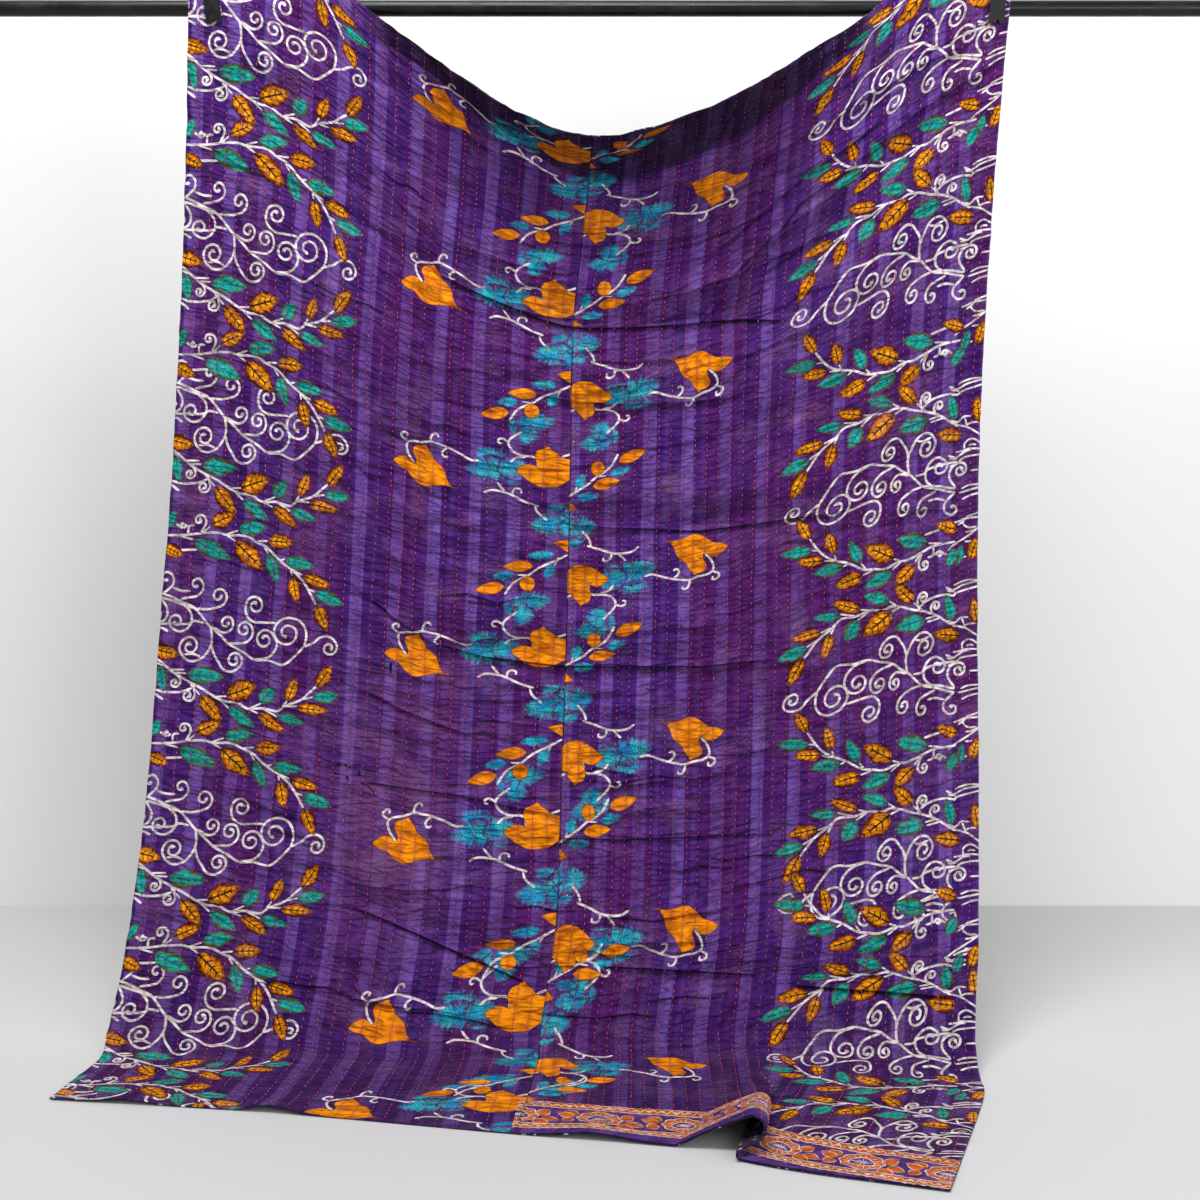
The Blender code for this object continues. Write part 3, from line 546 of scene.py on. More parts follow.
def creases(across, down):
    """A bulge that grows towards the crease from above and drops off sharply below it,
    and how dark the painted shade is on the line that the folded cloth hides from the light."""
    raised, dark = np.zeros_like(across), np.zeros_like(across)
    aside, above, under = CREASE_NEAR
    for path, depth in CREASES:
        at, level = (np.array(values) for values in zip(*sorted(path)))
        near = np.nonzero((across > at[0] - aside) & (across < at[-1] + aside)
                          & (down > level.min() - above) & (down < level.max() + under))[0]
        if not len(near):
            continue
        x = across[near]
        below = down[near] - np.interp(x, at, level)
        ends = (ease((x - at[0] + CREASE_ENDS) / CREASE_FADE)
                * ease((at[-1] + CREASE_ENDS - x) / CREASE_FADE))
        drop = np.interp(below, (0.0, CREASE_BELOW), (1.0, GROOVE))
        shape = np.where(below < 0, np.exp(below / CREASE_ABOVE),
                         np.where(below < CREASE_BELOW, drop,
                                  GROOVE * np.exp((CREASE_BELOW - below) / GROOVE_REACH)))
        raised[near] += depth * ends * shape
        line = np.clip(1 - np.abs(below - CREASE_BELOW / 2) / (LINE_SPREAD * CREASE_BELOW), 0, 1)
        # Painted shade: a dark line just below the crease, which darkens the colour.
        dark[near] = np.maximum(dark[near], line * ends * min(depth / FULL_DEPTH, 1.0))
    return raised, dark


print("the deepest crease is", max(depth for _path, depth in CREASES), "m")

# %% The band below the sagging edge, which leans away from the light
SHADED_BAND = [  # across, how far down it reaches
    (0.42, 0.05), (0.487, 0.08), (0.577, 0.11), (0.65, 0.15), (0.72, 0.185), (0.79, 0.175),
    (0.876, 0.15), (0.958, 0.14), (1.02, 0.11), (1.10, 0.06)]
BAND_SHADE = 0.66
BAND_LOW, BAND_FADE = 1.15, 0.35  # where it ends and how it fades, in band widths
BAND_SAG, BAND_SAG_FADE = -0.02, 0.08  # it starts where the edge sags this much


# Painted shade: this darkens the colour of the cloth and of its stitches in the band.
def edge_shade(across, down):
    width = np.interp(across, *zip(*SHADED_BAND))
    return (BAND_SHADE * ease((BAND_LOW * width - down) / (BAND_FADE * width))
            * ease((sag(across) - BAND_SAG) / BAND_SAG_FADE))


print("the shaded band is", max(width for _across, width in SHADED_BAND), "m wide")

# %% All the relief together
RIPPLES = [  # height, wave across, wave along the weft's fall, seed
    (0.0036, 0.120, 0.030, 1), (0.0020, 0.060, 0.0150, 2), (0.0012, 0.022, 0.21, 3)]
ROW_RIPPLE = (0.0018, 0.0120, 4)  # between the rows: height, wave, seed
EDGE_RIPPLE = (0.0026, 0.030, 0.011, 5)  # at the sagging edge: height, waves, seed
EDGE_FALL = 0.05
SEAM_DIP = (0.0003, 0.003)  # depth, half width
SLITS = [(0.400, 1.137)]  # a slit in the face, with the dark inner layer below it
SLIT_DEPTH, SLIT_SIZE = 0.0016, (0.003, 0.010)


CALM_RAIL, CALM_FLOOR = (0.03, 0.06, 0.85), (0.05, 0.10, 0.70)  # where, over what way, how much


def calm(across, down):
    """1 where the cloth is free to wrinkle, less on the rail, on the floor and at its fold."""
    way = way_from_crest(across, down)
    on_rail = 1 - ease((way - CALM_RAIL[0]) / CALM_RAIL[1])
    lying = ease((way - landing_way(across) + CALM_FLOOR[0]) / CALM_FLOOR[1])
    return (1 - CALM_RAIL[2] * on_rail) * (1 - CALM_FLOOR[2] * lying)


def relief(across, down):
    """How far the face stands out from the smooth form, in metres."""
    weft, row = down - bow(across), stitch_row_of(across)
    ripple = sum(height * wave_noise(across / wide, weft / tall, seed)
                 for height, wide, tall, seed in RIPPLES)
    height, tall, seed = ROW_RIPPLE
    ripple += height * np.abs(np.sin(pi * row)) * wave_noise(row, weft / tall, seed)
    height, wide, tall, seed = EDGE_RIPPLE
    edge = np.exp(-np.maximum(down, 0) / EDGE_FALL) * ease(sag(across) / EDGE_FALL)
    ripple += height * edge * wave_noise(across / wide, down / tall, seed)
    seam = -SEAM_DIP[0] * np.exp(-((across - SEAM) / SEAM_DIP[1]) ** 2)
    slits = sum(-SLIT_DEPTH * np.exp(-((across - x) / SLIT_SIZE[0]) ** 4 - ((down - y) / SLIT_SIZE[1]) ** 4)
                for x, y in SLITS)
    return (ripple + creases(across, down)[0]) * calm(across, down) + seam + slits


# %% The relief of the back
BACK_REACH = 0.006  # half the width of the back's triangles
RESTING_DENT = 0.0014  # how far a dent may go into cloth that lies on the rail or the floor


def back_relief(across, down):
    """The lowest relief around a point, so that the back's wider triangles stay behind the face."""
    around = [relief(across + x, down + y) for x in np.linspace(-BACK_REACH, BACK_REACH, 3)
              for y in np.linspace(-BACK_REACH, BACK_REACH, 7)]
    return np.min(around, axis=0)


middle_down = np.linspace(0.1, 1.5, 500)
middle_relief = relief(np.full(500, 0.5), middle_down)
print("left of the seam the relief runs from", round(middle_relief.min(), 4), "to",
      round(middle_relief.max(), 4), "m")

# %% [markdown]
# ## Cotton
#
# The quilt's materials share their cloth. Node groups hold what they share: the
# height of the weave and of the puckers between stitches, the woven stripes of the
# ground, and the wear of the print with painted shade and highlight. The material of each
# colour in the print puts its own paint through them.


# %% Node helpers
def put(tree, kind, inputs=(), **settings):
    """Adds a node, sets its properties, and fills its inputs with values or sockets."""
    made = tree.nodes.new(kind)
    for name, value in settings.items():
        setattr(made, name, value)
    for name, value in dict(inputs).items():
        if isinstance(value, bpy.types.NodeSocket):
            tree.links.new(value, made.inputs[name])
        else:
            made.inputs[name].default_value = value
    return made


def maths(tree, operation, *values):
    return put(tree, "ShaderNodeMath", dict(enumerate(values)), operation=operation).outputs[0]


def times(tree, product, *others):
    for other in others:
        product = maths(tree, "MULTIPLY", product, other)
    return product


def distance_from(tree, middle, value):
    """How far a value lies from a middle one, either way."""
    return maths(tree, "ABSOLUTE", maths(tree, "SUBTRACT", value, middle))


def blend_colour(tree, factor, one, two, blend_type="MIX"):
    return put(tree, "ShaderNodeMix", {0: factor, 6: one, 7: two}, data_type="RGBA",
               blend_type=blend_type).outputs[2]


def toned(tree, colour, tone):
    """A colour made lighter or darker by a varying tone."""
    grey = put(tree, "ShaderNodeCombineXYZ", {axis: tone for axis in range(3)}).outputs[0]
    return blend_colour(tree, 1.0, colour, grey, "MULTIPLY")


def remap(tree, value, low, high, to_low=0.0, to_high=1.0, kind="SMOOTHSTEP"):
    return put(tree, "ShaderNodeMapRange", {"Value": value, 1: low, 2: high, 3: to_low, 4: to_high},
               interpolation_type=kind).outputs[0]


def scaled_noise(tree, coordinate, scale, detail=2.0, roughness=0.5, stretch=(1, 1, 1)):
    moved = put(tree, "ShaderNodeMapping", {"Vector": coordinate, "Scale": stretch}).outputs[0]
    return put(tree, "ShaderNodeTexNoise", {"Vector": moved, "Scale": scale, "Detail": detail,
                                            "Roughness": roughness}).outputs[0]


def map_of(tree, name):
    return put(tree, "ShaderNodeUVMap", uv_map=name).outputs[0]


def cloth_noise(tree, scale, detail=2.0, roughness=0.5, stretch=(1, 1, 1)):
    """Noise that lies on the real cloth, warp across and weft down."""
    return scaled_noise(tree, map_of(tree, "Cloth"), scale, detail, roughness, stretch)


def split_map(tree, name):
    return put(tree, "ShaderNodeSeparateXYZ", {0: map_of(tree, name)}).outputs


def painted_shade(tree):
    """Painted shade: how much the creases and the band below the sagging edge hide a point from the light,
    as the mesh's crease attribute says.
    """
    return put(tree, "ShaderNodeAttribute", attribute_name="crease").outputs["Fac"]


def bump(tree, height, distance, strength, **before):
    """A normal bent by a height, and by an earlier normal if one is given."""
    return put(tree, "ShaderNodeBump", {"Height": height, "Distance": distance, "Strength": strength,
                                        **before}).outputs[0]


def new_group(name, inputs, outputs):
    """A node group; inputs are name, kind and value, outputs are name and kind."""
    tree = bpy.data.node_groups.new(name, "ShaderNodeTree")
    for label, kind, value in inputs:
        socket = tree.interface.new_socket(label, in_out="INPUT", socket_type=f"NodeSocket{kind}")
        socket.default_value = value
    for label, kind in outputs:
        tree.interface.new_socket(label, in_out="OUTPUT", socket_type=f"NodeSocket{kind}")
    return tree, put(tree, "NodeGroupInput").outputs, put(tree, "NodeGroupOutput")


def use_group(tree, group, **inputs):
    return put(tree, "ShaderNodeGroup", inputs, node_tree=group).outputs


# %% Weave height
# Two sets of round threads, of which the one or the other lies on top.
WEAVE, given, out = new_group("weave height", [("Threads a metre", "Float", 1500.0)],
                              [("Height", "Float")])
flat_place = split_map(WEAVE, "Cloth")
waves = [maths(WEAVE, "SINE", times(WEAVE, flat_place[axis], given[0], pi)) for axis in (0, 1)]
warp, weft = (maths(WEAVE, "ABSOLUTE", wave) for wave in waves)
warp_over = maths(WEAVE, "GREATER_THAN", times(WEAVE, *waves), 0.0)
weft_over = maths(WEAVE, "SUBTRACT", 1.0, warp_over)
WEAVE.links.new(maths(WEAVE, "ADD", times(WEAVE, warp, warp_over), times(WEAVE, weft, weft_over)),
                out.inputs["Height"])

# %% Pucker height
# The cloth stands up between two rows of stitches and is held down along them.
PUCKERS, given, out = new_group("pucker height", [("Crumple", "Float", 0.5)],
                                [("Height", "Float"), ("Folds", "Float")])
rows = map_of(PUCKERS, "Rows")
row_turn = times(PUCKERS, split_map(PUCKERS, "Rows")[0], pi / STITCH_ROWS)
quilted = maths(PUCKERS, "POWER", maths(PUCKERS, "ABSOLUTE", maths(PUCKERS, "SINE", row_turn)), 0.6)
fine = scaled_noise(PUCKERS, rows, 1.0, 2.0, 0.55, (60, 190, 1))
broad = scaled_noise(PUCKERS, rows, 1.0, 1.5, 0.5, (24, 78, 1))
ridged = distance_from(PUCKERS, 0.5, scaled_noise(PUCKERS, rows, 1.0, 1.0, 0.5, (18, 66, 1)))
ridged = remap(PUCKERS, ridged, 0.0, 0.10, 0.0, 0.50)
crumpled = maths(PUCKERS, "ADD", times(PUCKERS, fine, given[0]), times(PUCKERS, broad, 1.9))
crumpled = maths(PUCKERS, "ADD", crumpled, ridged)
# Folds, the crumple before the rows hold it down, sets the painted shade and highlight of the print wear
# group.
PUCKERS.links.new(crumpled, out.inputs["Folds"])
crumpled = times(PUCKERS, crumpled, remap(PUCKERS, quilted, 0.0, 1.0, 0.45, 1.0, "LINEAR"))
PUCKERS.links.new(maths(PUCKERS, "ADD", crumpled, times(PUCKERS, quilted, 0.22)), out.inputs["Height"])
print("heights:", WEAVE.name, "and", PUCKERS.name)

# %% [markdown]
# ## Stripes, wear and painted shade
#
# The ground is woven in stripes: a light one in the middle of each repeat, a narrow
# one beside it, and plum here and there where the dye differs. The light stripe is
# washed out in places, the low left of the quilt most of all, and single threads are
# lighter or darker. Everything printed on top is worn in the same way: it fades in
# patches and shows specks of the ground. Painted shade darkens the ground and the
# print in the creases and in the band below the sagging edge, painted shade and
# painted highlight follow the puckers, and the ground is painted darker low on the cloth.

# %% Stripes of the ground
STRIPES, given, out = new_group("woven stripes", [
    ("Light", "Color", (0.172, 0.086, 0.38, 1)), ("Ground", "Color", (0.056, 0.011, 0.150, 1)),
    ("Plum", "Color", (0.074, 0.009, 0.118, 1)), ("Faded", "Color", (0.170, 0.060, 0.190, 1))],
    [("Color", "Color")])
across, down = split_map(STRIPES, "Cloth")[:2]
wander = cloth_noise(STRIPES, 1.0, 1.0, 0.5, (16, 1.1, 1))
threads = cloth_noise(STRIPES, 1.0, 2.0, 0.6, (700, 9, 1))
slubs = cloth_noise(STRIPES, 1.0, 2.0, 0.6, (25, 700, 1))
slow = cloth_noise(STRIPES, 1.0, 2.0, 0.5, (9, 1.6, 1))
mottle = cloth_noise(STRIPES, 1.0, 3.0, 0.6, (11, 16, 1))

turn = maths(STRIPES, "ADD", times(STRIPES, across, 1 / STRIPE_REPEAT),
             remap(STRIPES, wander, 0.3, 0.7, -0.035, 0.035, "LINEAR"))
turn = maths(STRIPES, "FRACT", turn)
light_stripe = remap(STRIPES, distance_from(STRIPES, 0.5, turn), 0.315, 0.360)
narrow_stripe = remap(STRIPES, distance_from(STRIPES, 0.42, turn), 0.075, 0.05)
strength = times(STRIPES, remap(STRIPES, slow, 0.35, 0.65, 0.74, 0.34),
                 remap(STRIPES, mottle, 0.3, 0.7, 0.8, 1.1))
colour = blend_colour(STRIPES, remap(STRIPES, slow, 0.40, 0.60), given["Ground"], given["Plum"])
for share in (times(STRIPES, narrow_stripe, 0.12), times(STRIPES, light_stripe, strength)):
    colour = blend_colour(STRIPES, share, colour, given["Light"])

low_left = times(STRIPES, remap(STRIPES, distance_from(STRIPES, 0.38, across), 0.15, 0.04),
                 remap(STRIPES, distance_from(STRIPES, 1.30, down), 0.32, 0.05))
washed = maths(STRIPES, "MAXIMUM", remap(STRIPES, mottle, 0.52, 0.72, 0.0, 0.42),
               times(STRIPES, low_left, remap(STRIPES, mottle, 0.35, 0.6, 0.1, 0.7)))
colour = blend_colour(STRIPES, washed, colour, given["Faded"])

# Painted shade: the last two factors darken the ground in the creases, in the band below the sagging edge,
# and low on the cloth.
thread_tone_and_painted_shade = times(STRIPES, remap(STRIPES, threads, 0.2, 0.8, 0.78, 1.2, "LINEAR"),
                    remap(STRIPES, slubs, 0.2, 0.8, 0.84, 1.14, "LINEAR"),
                    remap(STRIPES, painted_shade(STRIPES), 0.30, 0.66, 1.0, 0.42),
                    remap(STRIPES, down, 1.45, 1.85, 1.0, 0.66))
STRIPES.links.new(toned(STRIPES, colour, thread_tone_and_painted_shade), out.inputs["Color"])
print("stripes repeat every", STRIPE_REPEAT, "m")

# %% Wear of the print, and painted shade and highlight
WEAR_AND_SHADE, given, out = new_group("print wear and painted shade", [("Color", "Color", (1, 1, 1, 1)), ("Fading", "Float", 0.3)],
                             [("Color", "Color")])
worn = remap(WEAR_AND_SHADE, cloth_noise(WEAR_AND_SHADE, 1.0, 4.0, 0.6, (14, 9, 1)), 0.48, 0.75)
faded = blend_colour(WEAR_AND_SHADE, times(WEAR_AND_SHADE, worn, given["Fading"]), given["Color"], (0.30, 0.17, 0.33, 1))
specks = cloth_noise(WEAR_AND_SHADE, 1.0, 1.0, 0.5, (900, 900, 1))
folds = use_group(WEAR_AND_SHADE, PUCKERS, Crumple=0.9)["Folds"]
# Painted shade and highlight: the creases and the band below the sagging edge darken the print, and the
# puckers darken it in their valleys and lighten it on their crests.
tone = times(WEAR_AND_SHADE, remap(WEAR_AND_SHADE, specks, 0.25, 0.75, 0.82, 1.14),
             remap(WEAR_AND_SHADE, painted_shade(WEAR_AND_SHADE), 0.30, 1.0, 1.0, 0.15),
             remap(WEAR_AND_SHADE, folds, 1.20, 2.05, 0.62, 1.20, "LINEAR"))
WEAR_AND_SHADE.links.new(toned(WEAR_AND_SHADE, faded, tone), out.inputs["Color"])
print("node groups:", [group.name for group in bpy.data.node_groups])

# %% One cotton material for each colour of the print
WEAVE_DEPTH = 0.00012


def cotton(name, colour, fading=0.3, crumple=0.9, pucker_depth=0.0044, sheen=0.02):
    """A cotton material; `colour` is a plain colour or a function that paints one."""
    made, tree, shader = new_material(name, Roughness=0.88, Specular_IOR_Level=0.09,
                                      Sheen_Weight=sheen, Sheen_Roughness=0.5)
    painted = colour(tree) if callable(colour) else (*colour, 1.0)
    # The print wear group also paints shade and highlight into the colour.
    worn = use_group(tree, WEAR_AND_SHADE, Color=painted, Fading=fading)["Color"]
    tree.links.new(worn, shader.inputs["Base Color"])
    coarse = bump(tree, use_group(tree, PUCKERS, Crumple=crumple)["Height"], pucker_depth, 1.0)
    fine = bump(tree, use_group(tree, WEAVE)["Height"], WEAVE_DEPTH, 0.8, Normal=coarse)
    tree.links.new(fine, shader.inputs["Normal"])
    return made


def ground_colour(tree):
    return use_group(tree, STRIPES)["Color"]


COTTONS = {
    "ground": cotton("ground cotton", ground_colour, 0.20),
    "vine": cotton("vine white", (0.72, 0.66, 0.63), 0.26),
    "dark": cotton("dark inner layer", (0.010, 0.008, 0.016), 0.0)}
print("plain cottons:", list(COTTONS))

# %% [markdown]
# ## Leaves and feathers
#
# A printed leaf is brightest along its middle and darkens to its edge, and fine veins
# slant forward from its spine. The block print blurs them, so noise moves every
# edge a little. The feathers near the seam are softer still and fade into the
# stripes. Each triangle of a motif carries its own map, "Motif", which runs along the
# motif from 0 to 1 and aside in half widths, so one material paints every leaf.

# %% Along and aside on a motif
LEAF_LEAN, LEAF_FULLNESS = 0.8, 0.85  # where a leaf is widest, and how round it is
FEATHER_SLANT = 0.16  # how far its lines lean, as a share of their count


def motif_axes(tree):
    """Along the motif from 0 to 1, and aside from its middle line in half widths."""
    return split_map(tree, "Motif")[:2]


def leaf_share(tree, along, away):
    """0 on the leaf's middle line and 1 on its outline, as leaf_width() gives it."""
    swell = maths(tree, "SINE", times(tree, maths(tree, "POWER", along, LEAF_LEAN), pi))
    width = maths(tree, "POWER", maths(tree, "MAXIMUM", swell, 0.0001), LEAF_FULLNESS)
    return maths(tree, "DIVIDE", away, width)


def slanting(tree, along, away, count, lean):
    """Counts lines that slant forward from the middle of a motif."""
    return maths(tree, "SUBTRACT", times(tree, along, count), times(tree, away, lean))


def line_distance(tree, slant):
    return distance_from(tree, 0.5, maths(tree, "FRACT", slant))


# %% Paint of the leaves
def veined(inner, middle, edge, vein, edge_start=0.35, vein_share=1.0):
    """Paints a leaf: bright inside, through a middle tone to a soft dark edge, with veins."""
    def paint(tree):
        along, aside = motif_axes(tree)
        away = maths(tree, "ABSOLUTE", aside)
        share = leaf_share(tree, along, away)
        for scale, low, high, less, more in ((170.0, 0.3, 0.7, -0.12, 0.12),
                                             (45.0, 0.35, 0.65, -0.10, 0.14)):
            share = maths(tree, "ADD", share, remap(tree, cloth_noise(tree, scale), low, high, less, more))
        ends = maths(tree, "MAXIMUM", remap(tree, along, 0.20, 0.0), remap(tree, along, 0.74, 1.0))
        rim = maths(tree, "MAXIMUM", remap(tree, share, edge_start, 0.80), ends)
        outer = maths(tree, "MAXIMUM", remap(tree, share, 0.60, 0.88), times(tree, ends, 0.7))
        stripe = line_distance(tree, slanting(tree, along, away, 5.2, 1.1))
        side = times(tree, remap(tree, stripe, 0.17, 0.05), remap(tree, share, 0.62, 0.28))
        spine = times(tree, remap(tree, away, 0.12, 0.04), remap(tree, along, 0.86, 0.66))
        lines = times(tree, maths(tree, "MAXIMUM", side, spine), vein_share)
        body = (*inner, 1)
        for amount, colour in ((rim, middle), (outer, edge), (lines, vein)):
            body = blend_colour(tree, amount, body, (*colour, 1))
        return blend_colour(tree, remap(tree, share, 1.0, 1.14), body, ground_colour(tree))
    return paint


ORANGE = ((0.92, 0.36, 0.006), (0.42, 0.088, 0.004), (0.075, 0.012, 0.004), (0.028, 0.007, 0.003))
TEAL = ((0.010, 0.35, 0.33), (0.022, 0.20, 0.13), (0.085, 0.085, 0.012), (0.010, 0.060, 0.040))
COTTONS["orange leaf"] = cotton("leaf orange", veined(*ORANGE, edge_start=0.15), 0.1, sheen=0.0)
COTTONS["teal leaf"] = cotton("leaf teal", veined(*TEAL, edge_start=0.5, vein_share=0.7), 0.1)


# %% Paint of the feathers
def feathered(barbs_along, barb_share, soft_from):
    """Paints a cyan feather that fades into the striped ground, with fern-like lines."""
    def paint(tree):
        along, aside = motif_axes(tree)
        away = maths(tree, "ABSOLUTE", aside)
        slant = slanting(tree, along, away, barbs_along, FEATHER_SLANT * barbs_along)
        streak = put(tree, "ShaderNodeCombineXYZ", {0: slant, 1: times(tree, aside, 1.2)}).outputs[0]
        streaks = scaled_noise(tree, streak, 1.1, 2.0, 0.6)
        share = maths(tree, "ADD", leaf_share(tree, along, away),
                      remap(tree, streaks, 0.3, 0.7, -0.22, 0.22))
        solid = times(tree, remap(tree, share, 0.98, soft_from), remap(tree, along, 1.0, 0.70),
                      remap(tree, along, 0.0, 0.15), 0.94)
        barbs = times(tree, remap(tree, line_distance(tree, slant), 0.24, 0.05),
                      remap(tree, share, 0.70, 0.20))
        spine = times(tree, remap(tree, away, 0.09, 0.02), remap(tree, along, 0.7, 0.3))
        lines = times(tree, maths(tree, "MAXIMUM", barbs, spine), barb_share)
        cyan = (0.004, 0.28, 0.54, 1)
        for amount, colour in (
                (remap(tree, cloth_noise(tree, 45.0), 0.38, 0.62), (0.024, 0.52, 0.58, 1)),
                (remap(tree, streaks, 0.45, 0.70, 0.0, 0.35), (0.006, 0.15, 0.36, 1)),
                (lines, (0.004, 0.045, 0.13, 1))):
            cyan = blend_colour(tree, amount, cyan, colour)
        return blend_colour(tree, solid, ground_colour(tree), cyan)
    return paint


COTTONS["cyan leaf"] = cotton("leaf cyan", feathered(9.0, 0.5, 0.45), 0.1)
COTTONS["feather"] = cotton("feather cyan", feathered(15.0, 0.65, 0.28), 0.1)


# %% Paint of the ivy leaf, and the cloth of the back
def ivy_colour(tree):
    """Flat orange with painted shade of faint creases and a thin dark edge."""
    body = (0.90, 0.275, 0.004, 1)
    for amount, colour in (
            (remap(tree, cloth_noise(tree, 42.0), 0.40, 0.65), (0.70, 0.175, 0.003, 1)),
            # Painted shade: darker streaks for the faint creases of the leaf.
            (remap(tree, cloth_noise(tree, 1.0, 3.0, 0.6, (45, 110, 1)), 0.56, 0.74, 0.0, 0.8),
             (0.42, 0.10, 0.008, 1)),
            (remap(tree, motif_axes(tree)[0], 0.0017, 0.0003), (0.12, 0.030, 0.012, 1))):
        body = blend_colour(tree, amount, body, colour)
    return body


def reverse_print(tree):
    """The cloth of the back: near black, with small rows of pale dashes."""
    moved = put(tree, "ShaderNodeMapping", {"Vector": map_of(tree, "Cloth"), "Scale": (55, 90, 1)})
    cell = put(tree, "ShaderNodeTexVoronoi", {"Vector": moved.outputs[0], "Scale": 1.0,
                                              "Randomness": 0.35})
    pale = times(tree, remap(tree, cell.outputs["Distance"], 0.24, 0.17),
                 remap(tree, cloth_noise(tree, 60.0), 0.42, 0.55))
    return blend_colour(tree, pale, (0.016, 0.012, 0.034, 1), (0.52, 0.50, 0.50, 1))


COTTONS["ivy"] = cotton("ivy orange", ivy_colour, 0.05, sheen=0.0)
COTTONS["reverse"] = cotton("reverse cotton", reverse_print, 0.15)
print(len(COTTONS), "cotton materials")

# %% [markdown]
# ## The print
#
# The print is drawn on a chart. One chart holds the repeat of the left panel:
# a branch with scrolls, two leafy branches below it, and the ivy leaf, twigs and
# feathers near the seam. The right panel is the same cloth turned by half a turn,
# which is why its motifs stand on their heads there. Chart sizes are millimetres:
# across from the left edge, and down from the anchor of the row.

# %% Chart: stems and twigs
STEMS = [
    [(1, -71), (17, -66), (35, -58), (58, -48), (75, -31), (86, -19), (103, -6), (121, 10),
     (144, 22), (167, 35), (191, 35), (217, 41), (235, 28), (251, 10)],
    [(1, -65), (28, -57), (56, -48)],
    [(0, -21), (20, -22), (49, -22), (59, -27), (76, -24)],
    [(18, -81), (33, -76), (48, -75)], [(0, -15), (5, -14), (14, -9)], [(46, 28), (61, 27), (73, 32)],
    [(0, 36), (14, 46), (31, 59), (56, 73), (78, 83), (103, 97), (123, 105), (141, 106),
     (163, 116), (187, 114), (212, 118), (226, 109), (252, 98), (266, 85), (276, 76)],
    [(0, 42), (12, 46)], [(0, 86), (20, 90), (46, 89), (63, 83)], [(0, 92), (15, 102)],
    [(0, 174), (35, 173), (61, 170), (89, 169), (107, 173), (137, 173), (157, 182), (177, 190),
     (201, 209), (221, 221), (237, 234), (252, 253), (267, 278)],
    [(23, 198), (54, 197)], [(36, 171), (37, 159), (47, 158)], [(26, 163), (14, 155)],
    [(426, 16), (416, 2), (411, -12), (413, -20), (423, -23), (438, -24), (454, -28), (468, -26),
     (484, -22), (505, -15), (525, -6), (539, -7)],
    [(413, -20), (403, -27), (402, -33), (408, -37), (413, -35), (412, -30)],
    [(454, -28), (454, -35), (459, -43), (466, -43), (467, -38)],
    [(485, -22), (477, -16), (474, -10), (478, -4), (485, -6)],
    [(550, 51), (565, 45), (588, 47), (603, 52), (624, 61), (648, 68)], [(574, 31), (588, 47)],
    [(602, 52), (601, 44), (607, 38), (616, 40), (616, 46)],
    [(641, 68), (645, 80), (662, 95)],
    [(614, -70), (596, -56), (591, -46), (597, -34), (613, -25), (638, -23), (645, -6)],
    [(591, -48), (580, -53), (573, -50), (574, -44), (579, -44)],
    [(595, -10), (606, -20), (622, -22)], [(685, -27), (704, -34)],
    [(699, 160), (677, 172), (651, 185), (632, 200), (607, 215), (592, 238)],
]
TWIGS = [
    ((24, 53), (48, 53)), ((31, 58), (51, 59)), ((60, 78), (77, 94)), ((105, 97), (124, 96)),
    ((110, 100), (129, 116)), ((163, 116), (185, 106)), ((163, 116), (181, 123)),
    ((187, 114), (213, 127)), ((218, 116), (229, 99)), ((226, 109), (246, 109)),
    ((252, 98), (271, 94)), ((17, 173), (46, 181)), ((61, 170), (74, 159)),
    ((102, 172), (123, 165)), ((104, 173), (120, 182)), ((157, 181), (177, 179)),
    ((171, 188), (180, 200)), ((201, 209), (210, 206)), ((221, 221), (224, 232)),
    ((221, 221), (241, 230)), ((252, 253), (265, 258)), ((684, 165), (677, 180)),
    ((632, 200), (614, 200)),
]

# %% Chart: scrolls, as root, centre, radius and turns (minus is counter-clockwise)
SCROLLS = [
    ([(34, -63), (54, -66)], (58, -87), 13, -1.2), ([(62, -47), (82, -46), (100, -50)], (98, -68), 15, -1.3),
    ([(91, -17), (107, -9)], (115, -24), 14, -1.4), ([(121, 9), (141, 9)], (147, -14), 16, -1.6),
    ([(167, 35), (187, 32)], (184, 1), 20, -1.7), ([(251, 10), (254, -2)], (222, -12), 28, -1.8),
    ([(201, -28), (176, -27)], (163, -54), 19, 1.7),
    ([(88, -19), (91, -4), (91, 11), (83, 27)], (54, 15), 21, 1.7),
    ([(90, 9), (96, 27), (106, 42)], (132, 37), 17, -1.7),
    ([(38, -55), (52, -41), (55, -27)], (28, -26), 16, 1.5), ([(251, 10), (268, 2)], (294, 11), 16, 1.6),
    ([(2, -71), (11, -79)], (5, -97), 13, -1.1), ([(1, -63), (10, -49)], (-6, -36), 14, 1.6),
    ([(35, 59), (41, 69)], (32, 74), 9, 1.2), ([(65, 78), (68, 90)], (57, 95), 11, 1.3),
    ([(59, 169), (65, 158)], (54, 149), 10, -1.2), ([(30, 161), (32, 157)], (26, 157), 6, 0.9),
]

